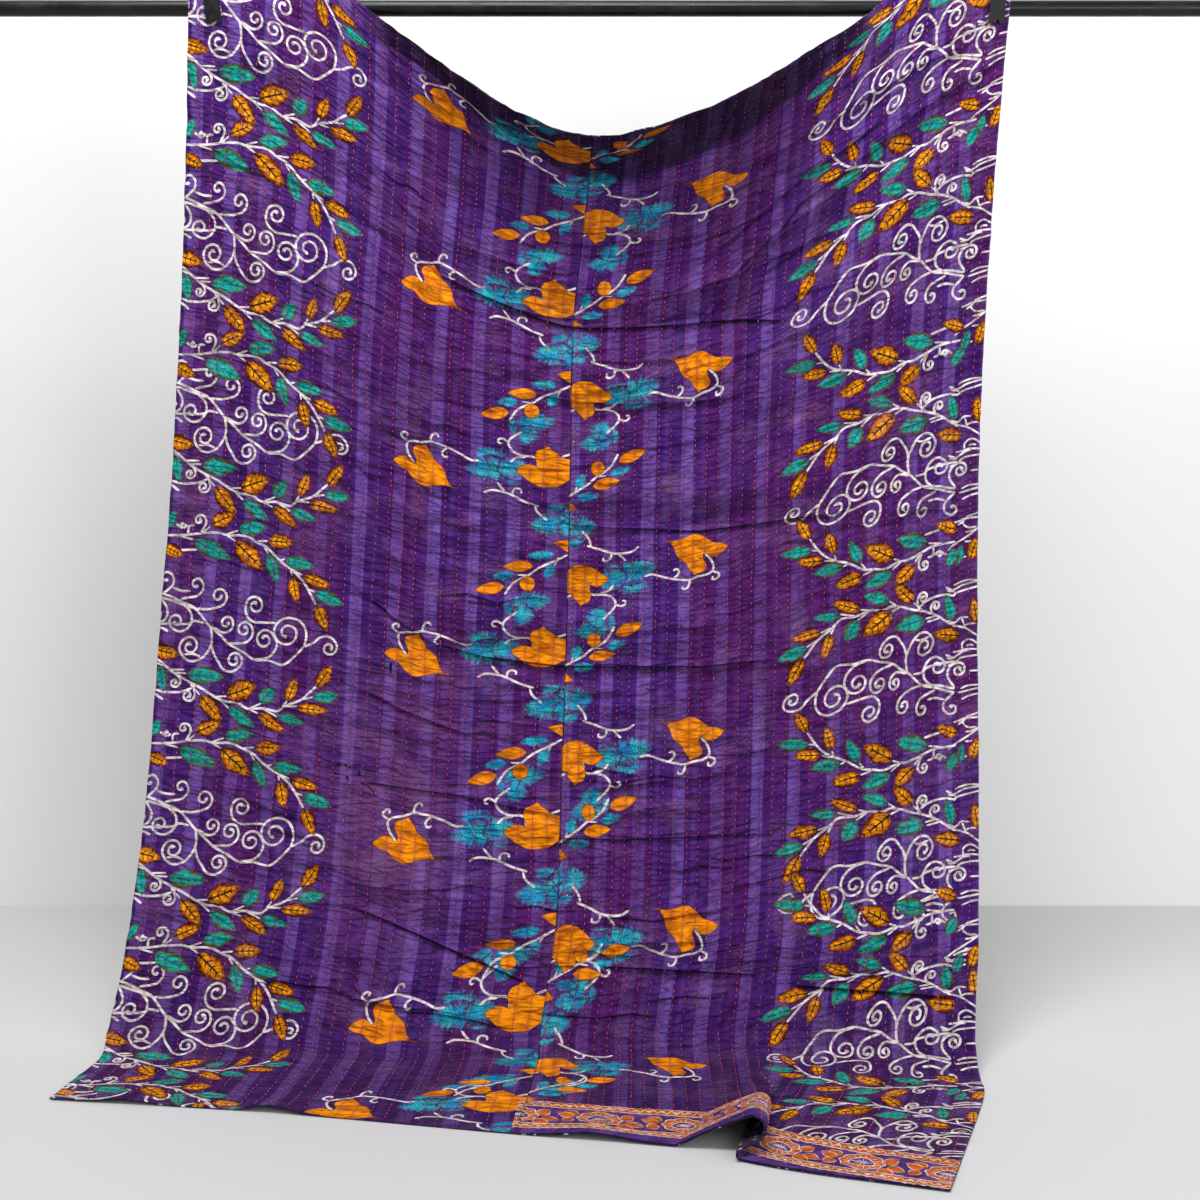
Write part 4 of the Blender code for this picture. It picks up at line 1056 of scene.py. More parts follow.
# %% Chart: leaves, as base, tip, half width and colour
LEAVES = [
    ((53, 60), (117, 65), 13, "teal leaf"), ((78, 95), (118, 139), 12, "orange leaf"),
    ((123, 96), (176, 76), 16, "orange leaf"), ((128, 115), (176, 146), 10, "teal leaf"),
    ((184, 106), (205, 78), 12, "teal leaf"), ((181, 123), (229, 153), 10, "orange leaf"),
    ((214, 125), (261, 139), 8, "teal leaf"), ((229, 100), (242, 61), 10, "orange leaf"),
    ((246, 111), (299, 118), 10, "orange leaf"), ((276, 78), (301, 40), 11, "orange leaf"),
    ((271, 94), (317, 93), 10, "teal leaf"), ((5, 47), (14, 90), 9, "teal leaf"),
    ((-9, 19), (37, 30), 12, "orange leaf"),
    ((75, 156), (117, 138), 12, "orange leaf"), ((48, 182), (115, 212), 13, "teal leaf"),
    ((124, 162), (176, 157), 11, "teal leaf"), ((120, 183), (174, 227), 15, "orange leaf"),
    ((178, 179), (225, 178), 12, "orange leaf"), ((181, 201), (200, 247), 10, "teal leaf"),
    ((210, 207), (262, 216), 10, "teal leaf"), ((225, 234), (236, 278), 10, "orange leaf"),
    ((244, 232), (291, 248), 10, "orange leaf"), ((264, 258), (315, 277), 10, "teal leaf"),
    ((268, 279), (289, 324), 10, "orange leaf"), ((-4, 192), (32, 208), 10, "orange leaf"),
    ((-4, 162), (14, 133), 9, "teal leaf"), ((678, 160), (623, 165), 9, "cyan leaf"),
    ((608, 201), (566, 206), 9, "cyan leaf"), ((677, 177), (658, 207), 10, "cyan leaf"),
]
FEATHERS = [  # root, tip, half width
    ((600, 2), (527, -28), 17), ((600, 2), (510, 11), 18), ((585, -2), (614, 27), 16),
    ((570, 4), (632, -6), 16),
    ((628, -76), (587, -81), 15), ((600, -84), (679, -96), 15), ((632, -84), (617, -44), 15),
    ((700, 96), (663, 63), 17), ((670, 98), (752, 90), 19), ((706, 98), (625, 108), 18),
    ((690, 92), (721, 131), 18),
]
SHAPES = [  # outlines in plain orange
    [(427, 16), (429, 11), (426, 3), (422, -6), (424, -15), (431, -18), (438, -19), (446, -22),
     (449, -16), (454, -10), (459, -3), (461, 3), (468, 8), (477, 16), (481, 23), (484, 32),
     (489, 41), (496, 46), (507, 50), (495, 50), (484, 48), (472, 49), (461, 51), (450, 54),
     (438, 53), (429, 48), (422, 42), (416, 35), (409, 30), (402, 28), (394, 23), (387, 17),
     (392, 11), (400, 6), (409, 5), (416, 7), (420, 11), (425, 17)],
    [(645, -6), (641, -14), (638, -22), (639, -32), (643, -38), (651, -41), (658, -45), (663, -48),
     (666, -42), (674, -37), (681, -32), (685, -27), (698, -24), (708, -22), (708, 13), (698, 19),
     (683, 29), (667, 32), (649, 32), (638, 28), (627, 22), (618, 15), (611, 10), (605, 3),
     (612, -4), (619, -8), (629, -10), (638, -8)],
    [(672, 138), (686, 134), (708, 134), (708, 158)],
    [(645, 216), (642, 207), (634, 202), (625, 203), (618, 210), (617, 219), (622, 227), (631, 230),
     (640, 227)],
]
PLAIN_LEAVES = [((641, 182), (586, 186), 11), ((592, 222), (539, 234), 12)]
EDGE_STROKES = [  # only on the right panel, whose cut lies further out
    [(1, 103), (-9, 106), (-22, 107), (-40, 104)], [(12, 96), (6, 94), (-3, 97), (-15, 101), (-40, 102)],
    [(3, 85), (-3, 90), (-16, 92), (-40, 94)], [(6, 39), (-3, 44), (-10, 49), (-22, 47)],
    [(-11, 48), (-14, 40), (-17, 31)], [(-16, 34), (-24, 36), (-40, 34)],
    [(5, 39), (-16, 31), (-28, 22), (-40, 12)], [(-13, -4), (-13, 5), (-20, 10), (-28, 9), (-40, 0)],
    [(2, -6), (-9, -6), (-20, -5), (-40, -9)], [(12, -15), (3, -16), (-5, -12), (-14, -8), (-24, -8)],
    [(11, -27), (-1, -24), (-9, -18), (-22, -17), (-40, -18)], [(-20, 0), (-25, 1), (-32, -1)],
    [(-24, -41), (-32, -42), (-40, -43)], [(-9, -67), (-22, -64), (-40, -66)],
    [(-5, -73), (-22, -72), (-40, -71)], [(-11, -85), (-24, -81), (-40, -80)],
    [(3, -120), (-6, -119), (-17, -117), (-40, -119)], [(-5, -125), (-13, -121), (-19, -116), (-27, -115)],
    [(-12, -117), (-14, -126), (-23, -133), (-35, -134)], [(-19, -114), (-29, -113), (-40, -111)],
    [(11, -163), (0, -155), (-14, -149), (-27, -143), (-40, -135)], [(-17, -139), (-27, -139), (-40, -135)],
    [(-16, -154), (-27, -156), (-40, -157)], [(-14, -179), (-19, -179)]]
EDGE_LEAVES = [((-37, 33), (-30, 78), 12, "orange leaf"), ((-26, -186), (-37, -150), 12, "orange leaf"),
               ((-3, -190), (-12, -158), 9, "teal leaf")]
print(len(STEMS), "stems,", len(TWIGS), "twigs,", len(SCROLLS), "scrolls,", len(LEAVES), "leaves")

# %% Chart: marks of age, in metres across and down
DARN = [  # short dark tucks
    ([(0.3152, 1.3032), (0.3268, 1.3018)], 0.0020), ([(0.3115, 1.3154), (0.3207, 1.3172)], 0.0017),
    ([(0.3352, 1.3209), (0.3397, 1.3292)], 0.0024), ([(0.3548, 1.3124), (0.3584, 1.3220)], 0.0021),
    ([(0.3645, 1.3117), (0.3740, 1.3130), (0.3856, 1.3154)], 0.0014),
    ([(0.3615, 1.3335), (0.3728, 1.3385), (0.3852, 1.3499)], 0.0012),
    ([(0.3306, 1.3012), (0.3415, 1.3081)], 0.0013)]
STAINS = [(0.400, 1.137, 0.0028, 0.0100), (1.248, 1.855, 0.0050, 0.0042), (1.257, 1.850, 0.0030, 0.0022),
          (1.290, 1.848, 0.0034, 0.0064)]  # across, down, half width, half height
SPECKS = [(0.712, 0.262), (0.694, 1.236), (0.709, 1.042), (0.690, 1.392), (0.716, 1.516), (0.706, 0.700)]

# %% [markdown]
# The real cloth is stretched and puckered, so its repeats don't lie evenly. Tables say
# where each repeat is anchored at a few places across, and how the right panel's
# chart is squeezed there.

# %% Where the repeats lie on the cloth
LEFT_ANCHORS = (0.28, 0.45)  # across
LEFT_ROWS = [(-0.19, -0.245), (0.138, 0.085), (0.465, 0.43), (0.755, 0.757), (1.095, 1.096),
             (1.427, 1.41), (1.725, 1.702), (2.00, 1.965)]  # down, at the anchors
RIGHT_ROW = [  # across, down, of the row without a shift
    (0.70, 1.287), (0.73, 1.290), (0.76, 1.291), (0.86, 1.275), (0.933, 1.270),
    (0.973, 1.259), (1.088, 1.204), (1.158, 1.178), (1.197, 1.166), (1.215, 1.161),
    (1.245, 1.148), (1.304, 1.124), (1.332, 1.115), (1.361, 1.112), (1.40, 1.105)]
RIGHT_ANCHORS = (0.73, 0.93, 1.09)  # across
RIGHT_ROWS = [(-1.030, -1.027, -1.008), (-0.677, -0.670, -0.671), (-0.322, -0.330, -0.325),
              (0.0, 0.0, 0.0), (0.305, 0.315, 0.332), (0.532, 0.573, 0.596),
              (0.80, 0.86, 0.90), (1.09, 1.16, 1.20)]  # shifts at the anchors
RIGHT_WIDTHS = [  # chart across, cloth from the right edge
    (-0.04, -0.002), (0, 0.039), (0.03, 0.070), (0.055, 0.092), (0.132, 0.154),
    (0.184, 0.203), (0.222, 0.242), (0.294, 0.312), (0.388, 0.427), (0.427, 0.467),
    (0.508, 0.540), (0.60, 0.625), (0.65, 0.669), (0.70, 0.702), (0.80, 0.802)]


def on_left(row):
    """Places chart points on one row of the left panel."""
    def place(chart):
        across, down = np.atleast_2d(np.array(chart, float)).T / 1000
        return np.stack([across, np.interp(across, LEFT_ANCHORS, LEFT_ROWS[row]) + down], axis=1)
    return place


def on_right(row):
    """Places chart points on one row of the right panel, turned by half a turn."""
    def place(chart):
        chart_across, up = np.atleast_2d(np.array(chart, float)).T / 1000
        across = CLOTH_WIDTH - np.interp(chart_across, *zip(*RIGHT_WIDTHS))
        anchor = np.interp(across, *zip(*RIGHT_ROW)) + np.interp(across, RIGHT_ANCHORS, RIGHT_ROWS[row])
        return np.stack([across, anchor - up], axis=1)
    return place


print(len(LEFT_ROWS), "rows on the left panel,", len(RIGHT_ROWS), "on the right")

# %% Smooth lines, scrolls and leaf outlines
CURVE_STEP, CURVE_PARTS = 0.003, 9
SCROLL_POINTS, SCROLL_OPENS, SCROLL_CLOSES, SCROLL_POWER = 16, 0.3, 0.80, 1.1


def smooth_path(points, step=CURVE_STEP):
    """A smooth curve through points, with a point every `step` metres."""
    points = np.array(points, float)
    if len(points) > 2:
        before, after = 2 * points[0] - points[1], 2 * points[-1] - points[-2]
        p = np.vstack([before, points, after])
        t = np.linspace(0, 1, CURVE_PARTS)[:-1, None]
        curve = [0.5 * (2 * p[i] + (p[i + 1] - p[i - 1]) * t
                        + (2 * p[i - 1] - 5 * p[i] + 4 * p[i + 1] - p[i + 2]) * t ** 2
                        + (3 * p[i] - p[i - 1] - 3 * p[i + 1] + p[i + 2]) * t ** 3)
                 for i in range(1, len(p) - 2)]
        points = np.vstack(curve + [points[-1:]])
    run = np.concatenate([[0], np.cumsum(np.linalg.norm(np.diff(points, axis=0), axis=1))])
    at = np.linspace(0, run[-1], max(int(run[-1] / step) + 1, 3))
    return np.stack([np.interp(at, run, points[:, 0]), np.interp(at, run, points[:, 1])], axis=1)


def scroll_points(root, centre, radius, turns):
    """Chart points of a scroll: its root, then a spiral that winds inwards."""
    start = np.array(root[-1], float) - centre
    angle, reach = atan2(start[1], start[0]), hypot(*start)
    steps = int(abs(turns) * SCROLL_POINTS)
    spiral = []
    for k in range(1, steps + 1):
        share = k / steps
        width = reach + (radius - reach) * min(1.0, share * abs(turns) / SCROLL_OPENS)
        width *= 1 - SCROLL_CLOSES * share ** SCROLL_POWER
        spiral.append((centre[0] + width * cos(angle + 2 * pi * turns * share),
                       centre[1] + width * sin(angle + 2 * pi * turns * share)))
    return list(root) + spiral


def leaf_width(along):
    """Share of the leaf's half width at a place from its base, 0, to its tip, 1."""
    return np.maximum(np.sin(pi * np.clip(along, 0, 1) ** LEAF_LEAN), 0) ** LEAF_FULLNESS


def leaf_axes(base, tip, half_width):
    """From base to tip, and from the middle line to the widest place aside."""
    ahead = tip - base
    return ahead, np.array([-ahead[1], ahead[0]]) / np.linalg.norm(ahead) * half_width


def leaf_outline(base, tip, half_width, steps=9):
    """The closed outline of a leaf from its base to its tip."""
    along = np.linspace(0, 1, steps)[:, None]
    ahead, aside = leaf_axes(base, tip, half_width)
    middle, width = base + ahead * along, leaf_width(along)
    return np.vstack([middle + aside * width, (middle - aside * width)[-2:0:-1]])


def round_outline(x, y, half_width, half_height, corners=10):
    """A slightly uneven oval."""
    angle = 2 * pi * np.arange(corners) / corners
    reach = 1 + 0.12 * np.sin(3 * angle + 40 * x)
    return np.stack([x + half_width * reach * np.cos(angle),
                     y + half_height * reach * np.sin(angle)], axis=1)


# %% A drawing on a flat panel
VINE_HALF_WIDTH, THIN_HALF_WIDTH = 0.00195, 0.0015
STROKE_ENDS, STROKE_TAPER = 0.55, 2.5  # width at the ends, and points of the path to full width
SCROLL_DOT = np.array([1.2, 1.6, 1.3])  # a scroll ends in a dot this much wider


class Drawing:
    """The outlines on one flat panel, and what lies inside each."""

    def __init__(self):
        self.points, self.edges = [], []
        self.stroke_points, self.stroke_widths, self.stroke_kinds = [], [], []
        self.motifs = []

    def line(self, points, closed=False):
        first = len(self.points)
        self.points += [tuple(point) for point in points]
        self.edges += [(k, k + 1) for k in range(first, first + len(points) - 1)]
        if closed:
            self.edges.append((first + len(points) - 1, first))

    def stroke(self, path, half_width=VINE_HALF_WIDTH, dot=False, kind="vine"):
        ahead = np.gradient(path, axis=0)
        aside = np.stack([-ahead[:, 1], ahead[:, 0]], axis=1)
        aside /= np.linalg.norm(aside, axis=1, keepdims=True)
        share = np.linspace(0, 1, len(path))
        from_end = np.minimum(share, 1 - share) * len(path)
        width = half_width * np.clip(from_end / STROKE_TAPER + STROKE_ENDS, STROKE_ENDS, 1)
        if dot:
            width[-3:] = half_width * SCROLL_DOT
        self.line(np.vstack([path + aside * width[:, None], (path - aside * width[:, None])[::-1]]), True)
        for k in range(len(path) - 1):
            for t in (0.0, 0.33, 0.67):
                self.stroke_points.append(path[k] * (1 - t) + path[k + 1] * t)
                self.stroke_widths.append(width[k] * (1 - t) + width[k + 1] * t)
                self.stroke_kinds.append(kind)

    def leaf(self, base, tip, half_width, kind, steps=9):
        ahead, aside = leaf_axes(base, tip, half_width)
        self.line(leaf_outline(base, tip, half_width, steps), True)
        self.line(base + ahead * np.linspace(0, 1, steps)[1:-1, None])
        self.motifs.append(("leaf", kind, (base, ahead, aside)))

    def shape(self, outline, kind, rim=0.0022):
        centre = outline.mean(axis=0)
        self.line(outline, True)
        inner = outline + (centre - outline) * (rim / np.linalg.norm(outline - centre, axis=1))[:, None]
        self.line(inner, True)
        self.motifs.append(("shape", kind, outline))


# %% Drawing one repeat, and the marks of age
FEATHER_SIZE, LEAF_SIZE = 1.45, 1.2  # painted edges fade inside wider outlines
SPECK_RADIUS = 0.0013


def draw_repeat(drawing, place):
    for base, tip, half_width in FEATHERS:
        drawing.leaf(*place([base, tip]), FEATHER_SIZE * half_width / 1000, "feather", 7)
    for stem in STEMS:
        drawing.stroke(smooth_path(place(stem)))
    for twig in TWIGS:
        drawing.stroke(smooth_path(place(twig)), THIN_HALF_WIDTH)
    for scroll in SCROLLS:
        drawing.stroke(smooth_path(place(scroll_points(*scroll)), 0.0026), dot=True)
    for base, tip, half_width, kind in LEAVES:
        drawing.leaf(*place([base, tip]), LEAF_SIZE * half_width / 1000, kind)
    for outline in SHAPES:
        drawing.shape(smooth_path(place(outline + outline[:1]), 0.004)[:-1], "ivy")
    for base, tip, half_width in PLAIN_LEAVES:
        drawing.shape(leaf_outline(*place([base, tip]), half_width / 1000), "ivy")


def draw_marks(drawing, left, right):
    """Slit, stains, darn and specks that lie between two places across."""
    for tuck, half_width in DARN:
        if left < tuck[0][0] < right:
            drawing.stroke(smooth_path(tuck), half_width, kind="dark")
    for x, y, half_width, half_height in STAINS:
        if left < x < right:
            drawing.shape(round_outline(x, y, half_width, half_height), "dark", 0.0008)
    for x, y in SPECKS:
        if left < x < right:
            drawing.shape(round_outline(x, y, SPECK_RADIUS, SPECK_RADIUS, 6), "vine", 0.0004)


# %% Both panels drawn flat
left_drawing, right_drawing = Drawing(), Drawing()
for row in range(len(LEFT_ROWS)):
    draw_repeat(left_drawing, on_left(row))
for row in range(len(RIGHT_ROWS)):
    draw_repeat(right_drawing, on_right(row))
    for stroke in EDGE_STROKES:
        right_drawing.stroke(smooth_path(on_right(row)(stroke)), THIN_HALF_WIDTH)
    for base, tip, half_width, kind in EDGE_LEAVES:
        right_drawing.leaf(*on_right(row)([base, tip]), half_width / 1000, kind)
draw_marks(left_drawing, 0.0, SEAM)
draw_marks(right_drawing, SEAM, CLOTH_WIDTH)
print(len(left_drawing.points), "points drawn on the left panel,", len(right_drawing.points), "on the right")

# %% [markdown]
# ## From flat drawing to cloth
#
# The outlines are not painted with an image. They are cut into the mesh: a
# constrained triangulation of the flat panel takes every outline as an edge, and each
# triangle gets the material of the motif it lies in. The flat mesh is then hung with
# cloth(), thickened, and closed by a coarser skin on its reverse.


# %% Triangulating a flat panel
def inside_outline(outline, points):
    """Which points lie inside a closed outline."""
    inside = np.zeros(len(points), bool)
    for (x1, y1), (x2, y2) in zip(outline, np.roll(outline, -1, axis=0)):
        crosses = (y1 > points[:, 1]) != (y2 > points[:, 1])
        with np.errstate(divide="ignore", invalid="ignore"):
            inside ^= crosses & (points[:, 0] < (x2 - x1) * (points[:, 1] - y1) / (y2 - y1) + x1)
    return inside


def triangulate(outline, points, edges):
    """Triangles inside a closed outline, with the given edges kept."""
    everything = [Vector(point) for point in outline] + [Vector(point) for point in points]
    shift = len(outline)
    kept = [(a + shift, b + shift) for a, b in edges]
    flat, _edges, faces, _points, _kept, within = delaunay_2d_cdt(
        everything, kept, [list(range(shift))], 1, 1e-5, True)
    faces = [list(face) for face, inputs in zip(faces, within) if 0 in inputs]
    used = sorted({k for face in faces for k in face})
    number = {k: n for n, k in enumerate(used)}
    flat = np.array([tuple(flat[k]) for k in used])
    faces = np.array([[number[k] for k in face] for face in faces])
    one, two, three = (flat[faces[:, k]] for k in range(3))
    if np.cross(two - one, three - one).sum() < 0:
        faces = faces[:, ::-1]
    return flat, faces


# %% Points on the outline and inside it
FOLD_LEFT, FOLD_RIGHT, FOLD_TOP = 0.93, 1.16, 1.78  # where the mesh is finer for the floor fold
FOLD_EDGE, FOLD_EDGE_TOP, FOLD_EDGE_FALL = 0.02, 1.70, 0.2 / 0.34
FINE_ABOVE, LOWEST = 0.16, 2.19  # twice as fine above this, and nothing below that


def thinned(grid, points, reach=0.0024):
    """Grid points that don't crowd the given ones."""
    taken = {(int(x // reach), int(y // reach)) for x, y in points}
    near = {(i + a, j + b) for i, j in taken for a in (-1, 0, 1) for b in (-1, 0, 1)}
    return [point for point in grid if (int(point[0] // reach), int(point[1] // reach)) not in near]


def side_points(start, end, step=0.006):
    count = max(int(round((end - start) / step)), 1)
    return np.linspace(start, end, count + 1)


def outline_of(region, inset=0.0, step=0.006):
    """The closed outline of a region, given as left, right and the functions of its top and foot."""
    left, right, top, foot = region
    across = side_points(left + inset, right - inset, step)
    down_left, down_right = (side_points(float(top(side)) + inset, float(foot(side)) - inset, step)
                             for side in (left, right))
    return np.array([(x, float(top(x)) + inset) for x in across[:-1]]
                    + [(right - inset, y) for y in down_right[:-1]]
                    + [(x, float(foot(x)) - inset) for x in across[:0:-1]]
                    + [(left + inset, y) for y in down_left[:0:-1]])


def grid_of(region, wide, tall, margin=0.003):
    """Grid points, closer together on the rail and at the floor's fold."""
    left, right, top, foot = region

    def in_fold(x, y):
        return (FOLD_LEFT < x < FOLD_RIGHT and y > FOLD_TOP
                and x > PIVOT - FOLD_EDGE_FALL * (y - FOLD_EDGE_TOP) - FOLD_EDGE)

    rows = list(np.arange(tall / 2, FINE_ABOVE, tall / 2)) + list(np.arange(FINE_ABOVE + tall, LOWEST, tall))
    grid = [(x, y) for y in rows for x in np.arange(left + wide / 2, right, wide) if not in_fold(x, y)]
    grid += [(x, y) for y in np.arange(FOLD_TOP, LOWEST, tall)
             for x in np.arange(FOLD_LEFT, FOLD_RIGHT, wide / 2.6) if in_fold(x, y)]
    return [(x, y) for x, y in grid if left < x < right and top(x) + margin < y < foot(x) - margin]


print("the mesh is finer from", FOLD_LEFT, "to", FOLD_RIGHT, "m across, at the floor fold")


# %% Naming what each triangle shows
def leaf_place(points, base, ahead, aside):
    """Along a leaf from 0 to 1, and aside in half widths."""
    return np.stack([(points - base) @ ahead / (ahead @ ahead),
                     (points - base) @ aside / (aside @ aside)], axis=-1)


def motif_of(drawing, flat, faces, order=("feather", "stroke", "leaf", "shape")):
    """The material and the motif coordinates of each triangle, painted in the order given."""
    centres = flat[faces].mean(axis=1)
    kinds = np.full(len(faces), "ground", dtype=object)
    axes = np.zeros((len(faces), 3, 2))
    corners = flat[faces]

    def paint_leaf(kind, leaf):
        base, ahead, _aside = leaf
        near = np.nonzero(np.linalg.norm(centres - base - ahead / 2, axis=1) < np.linalg.norm(ahead))[0]
        place = leaf_place(centres[near], *leaf)
        hit = near[(place[:, 0] > 0) & (place[:, 0] < 1)
                   & (np.abs(place[:, 1]) < leaf_width(place[:, 0]) + 0.01)]
        kinds[hit] = kind
        axes[hit] = leaf_place(corners[hit], *leaf)

    def paint_strokes():
        tree = KDTree(len(drawing.stroke_points))
        for k, point in enumerate(drawing.stroke_points):
            tree.insert((point[0], point[1], 0), k)
        tree.balance()
        for k, centre in enumerate(centres):
            _place, nearest, away = tree.find((centre[0], centre[1], 0))
            if away < drawing.stroke_widths[nearest] * 1.04:
                kinds[k] = drawing.stroke_kinds[nearest]
                axes[k] = 0

    def paint_shape(kind, outline):
        low, high = outline.min(axis=0), outline.max(axis=0)
        near = np.nonzero(((centres > low) & (centres < high)).all(axis=1))[0]
        hit = near[inside_outline(outline, centres[near])]
        kinds[hit] = kind
        ends = np.roll(outline, -1, axis=0) - outline
        for m in range(3):
            points = corners[hit, m]
            t = np.clip(((points[:, None] - outline) * ends).sum(-1) / (ends * ends).sum(-1), 0, 1)
            foot = outline + ends * t[..., None]
            axes[hit, m, 0] = np.linalg.norm(points[:, None] - foot, axis=-1).min(axis=1)
            axes[hit, m, 1] = 0

    for step in order:
        if step == "stroke":
            paint_strokes()
        for sort, kind, data in drawing.motifs:
            if step == "shape" and sort == "shape":
                paint_shape(kind, data)
            elif sort == "leaf" and step == ("feather" if kind in ("feather", "cyan leaf") else "leaf"):
                paint_leaf(kind, data)
    return kinds, axes


def panel_motifs(drawing, flat, faces):
    """As motif_of(), but plain under the border strip."""
    kinds, axes = motif_of(drawing, flat, faces)
    across, down = flat[faces].mean(axis=1).T
    kinds[(across > STRIP_LEFT + 0.003) & (down > strip_top(across) + 0.003)] = "ground"
    return kinds, axes


# %% Crease lines, maps of the real cloth, and the border of a mesh
def crease_lines(left, right):
    """Lines of points along each crease, so that the mesh can bend sharply there."""
    for path, _depth in CREASES:
        at, level = (np.array(values) for values in zip(*sorted(path)))
        across = np.arange(max(at[0], left + 0.005), min(at[-1], right - 0.005), 0.008)
        if len(across) > 2:
            for below in CREASE_LINES:
                down = np.interp(across, at, level) + below
                if (down > 0.004).all():
                    yield np.stack([across, down], axis=1)


def real_cloth(flat):
    """UV maps of the real cloth: by warp and weft, and by stitch row and weft."""
    across, down = flat.T
    weft = down - bow(across)
    return (np.stack([warp_of(across), weft], axis=1),
            np.stack([stitch_row_of(across) * STITCH_ROWS, weft], axis=1))


def border_of(faces):
    """The directed edges that only one triangle has, and the points on them in order."""
    pairs = {pair for a, b, c in faces.tolist() for pair in ((a, b), (b, c), (c, a))}
    border = [pair for pair in sorted(pairs) if (pair[1], pair[0]) not in pairs]
    following = dict(border)
    loop = [border[0][0]]
    while following[loop[-1]] != loop[0]:
        loop.append(following[loop[-1]])
    return border, loop


# %% A mesh object with a material for each kind of face
SHARP_ANGLE = radians(60)


def mesh_object(name, places, faces, kinds, uv_maps, materials, crease):
    data = bpy.data.meshes.new(name)
    data.from_pydata((places + ROOM).tolist(), [], faces)
    slots = sorted(set(kinds))
    for kind in slots:
        data.materials.append(materials[kind])
    data.polygons.foreach_set("material_index", [slots.index(kind) for kind in kinds])
    for label, values in uv_maps.items():
        data.uv_layers.new(name=label).data.foreach_set("uv", np.asarray(values, float).ravel())
    # The crease attribute holds painted shade, which the materials read to darken their colour.
    data.attributes.new("crease", "FLOAT", "POINT").data.foreach_set("value", crease)
    data.shade_smooth()
    data.set_sharp_from_angle(angle=SHARP_ANGLE)
    return into_scene(name, data)


# %% The layout map of a sheet
MAP_SIZE = 2.25  # metres of flat cloth on the side of the layout map
MAP_MARGIN, BACK_COLUMN = 0.005, 0.335  # the back lies right of the face
RIM_LEFT, RIM_FOOT, RIM_WIDTH, RIM_COLUMNS, RIM_SHARE = 0.69, 0.01, 0.30, 40, 0.8


def rim_layout(walls):
    """Small squares in the free right part of the layout map, one for each rim face."""
    cell = RIM_WIDTH / RIM_COLUMNS
    square = np.array([(0, 0), (1, 0), (1, 1), (0, 1)]) * cell * RIM_SHARE
    return np.vstack([square[:len(wall)] + (RIM_LEFT + cell * (k % RIM_COLUMNS),
                                            RIM_FOOT + cell * (k // RIM_COLUMNS))
                      for k, wall in enumerate(walls)])


def sheet_layout(flat_corners, left, front_corners, skin_corners, walls):
    layout = ((flat_corners - (left, 0)) / MAP_SIZE * (1, -1) + (MAP_MARGIN, 1 - MAP_MARGIN))
    layout[front_corners:, 0] += BACK_COLUMN
    layout[skin_corners:] = rim_layout(walls)
    return layout


# %% Hanging the flat points of a skin
RAIL_REST, FLOOR_REST = 0.04, 0.08  # it rests this near the crest and the landing


def hang(flat_points, out, lowest, height):
    """Hangs flat points, `out` for their relief and `height` for their skin above the underside."""
    across, down = flat_points.T
    way = way_from_crest(across, down)
    resting = (way < RAIL_REST) | (way > landing_way(across) - FLOOR_REST)
    out = np.where(resting, np.maximum(out, lowest), out)
    return cloth(across, down) + cloth_normal(across, down) * (out + height)[:, None]


# %% Building a closed sheet
HEM_THIN, SEAM_THIN = 0.0006, 0.0002  # the edges are this much thinner on each side
RIM_INSET = 0.0026  # a line of points this far inside the outline
FRONT_GRID, BACK_GRID = (0.009, 0.006), (0.012, 0.009, 0.006)  # across, down, margin
BACK_CROWDING = 0.004
SKINS = {}  # flat points, triangles and hung places, for what is sewn on


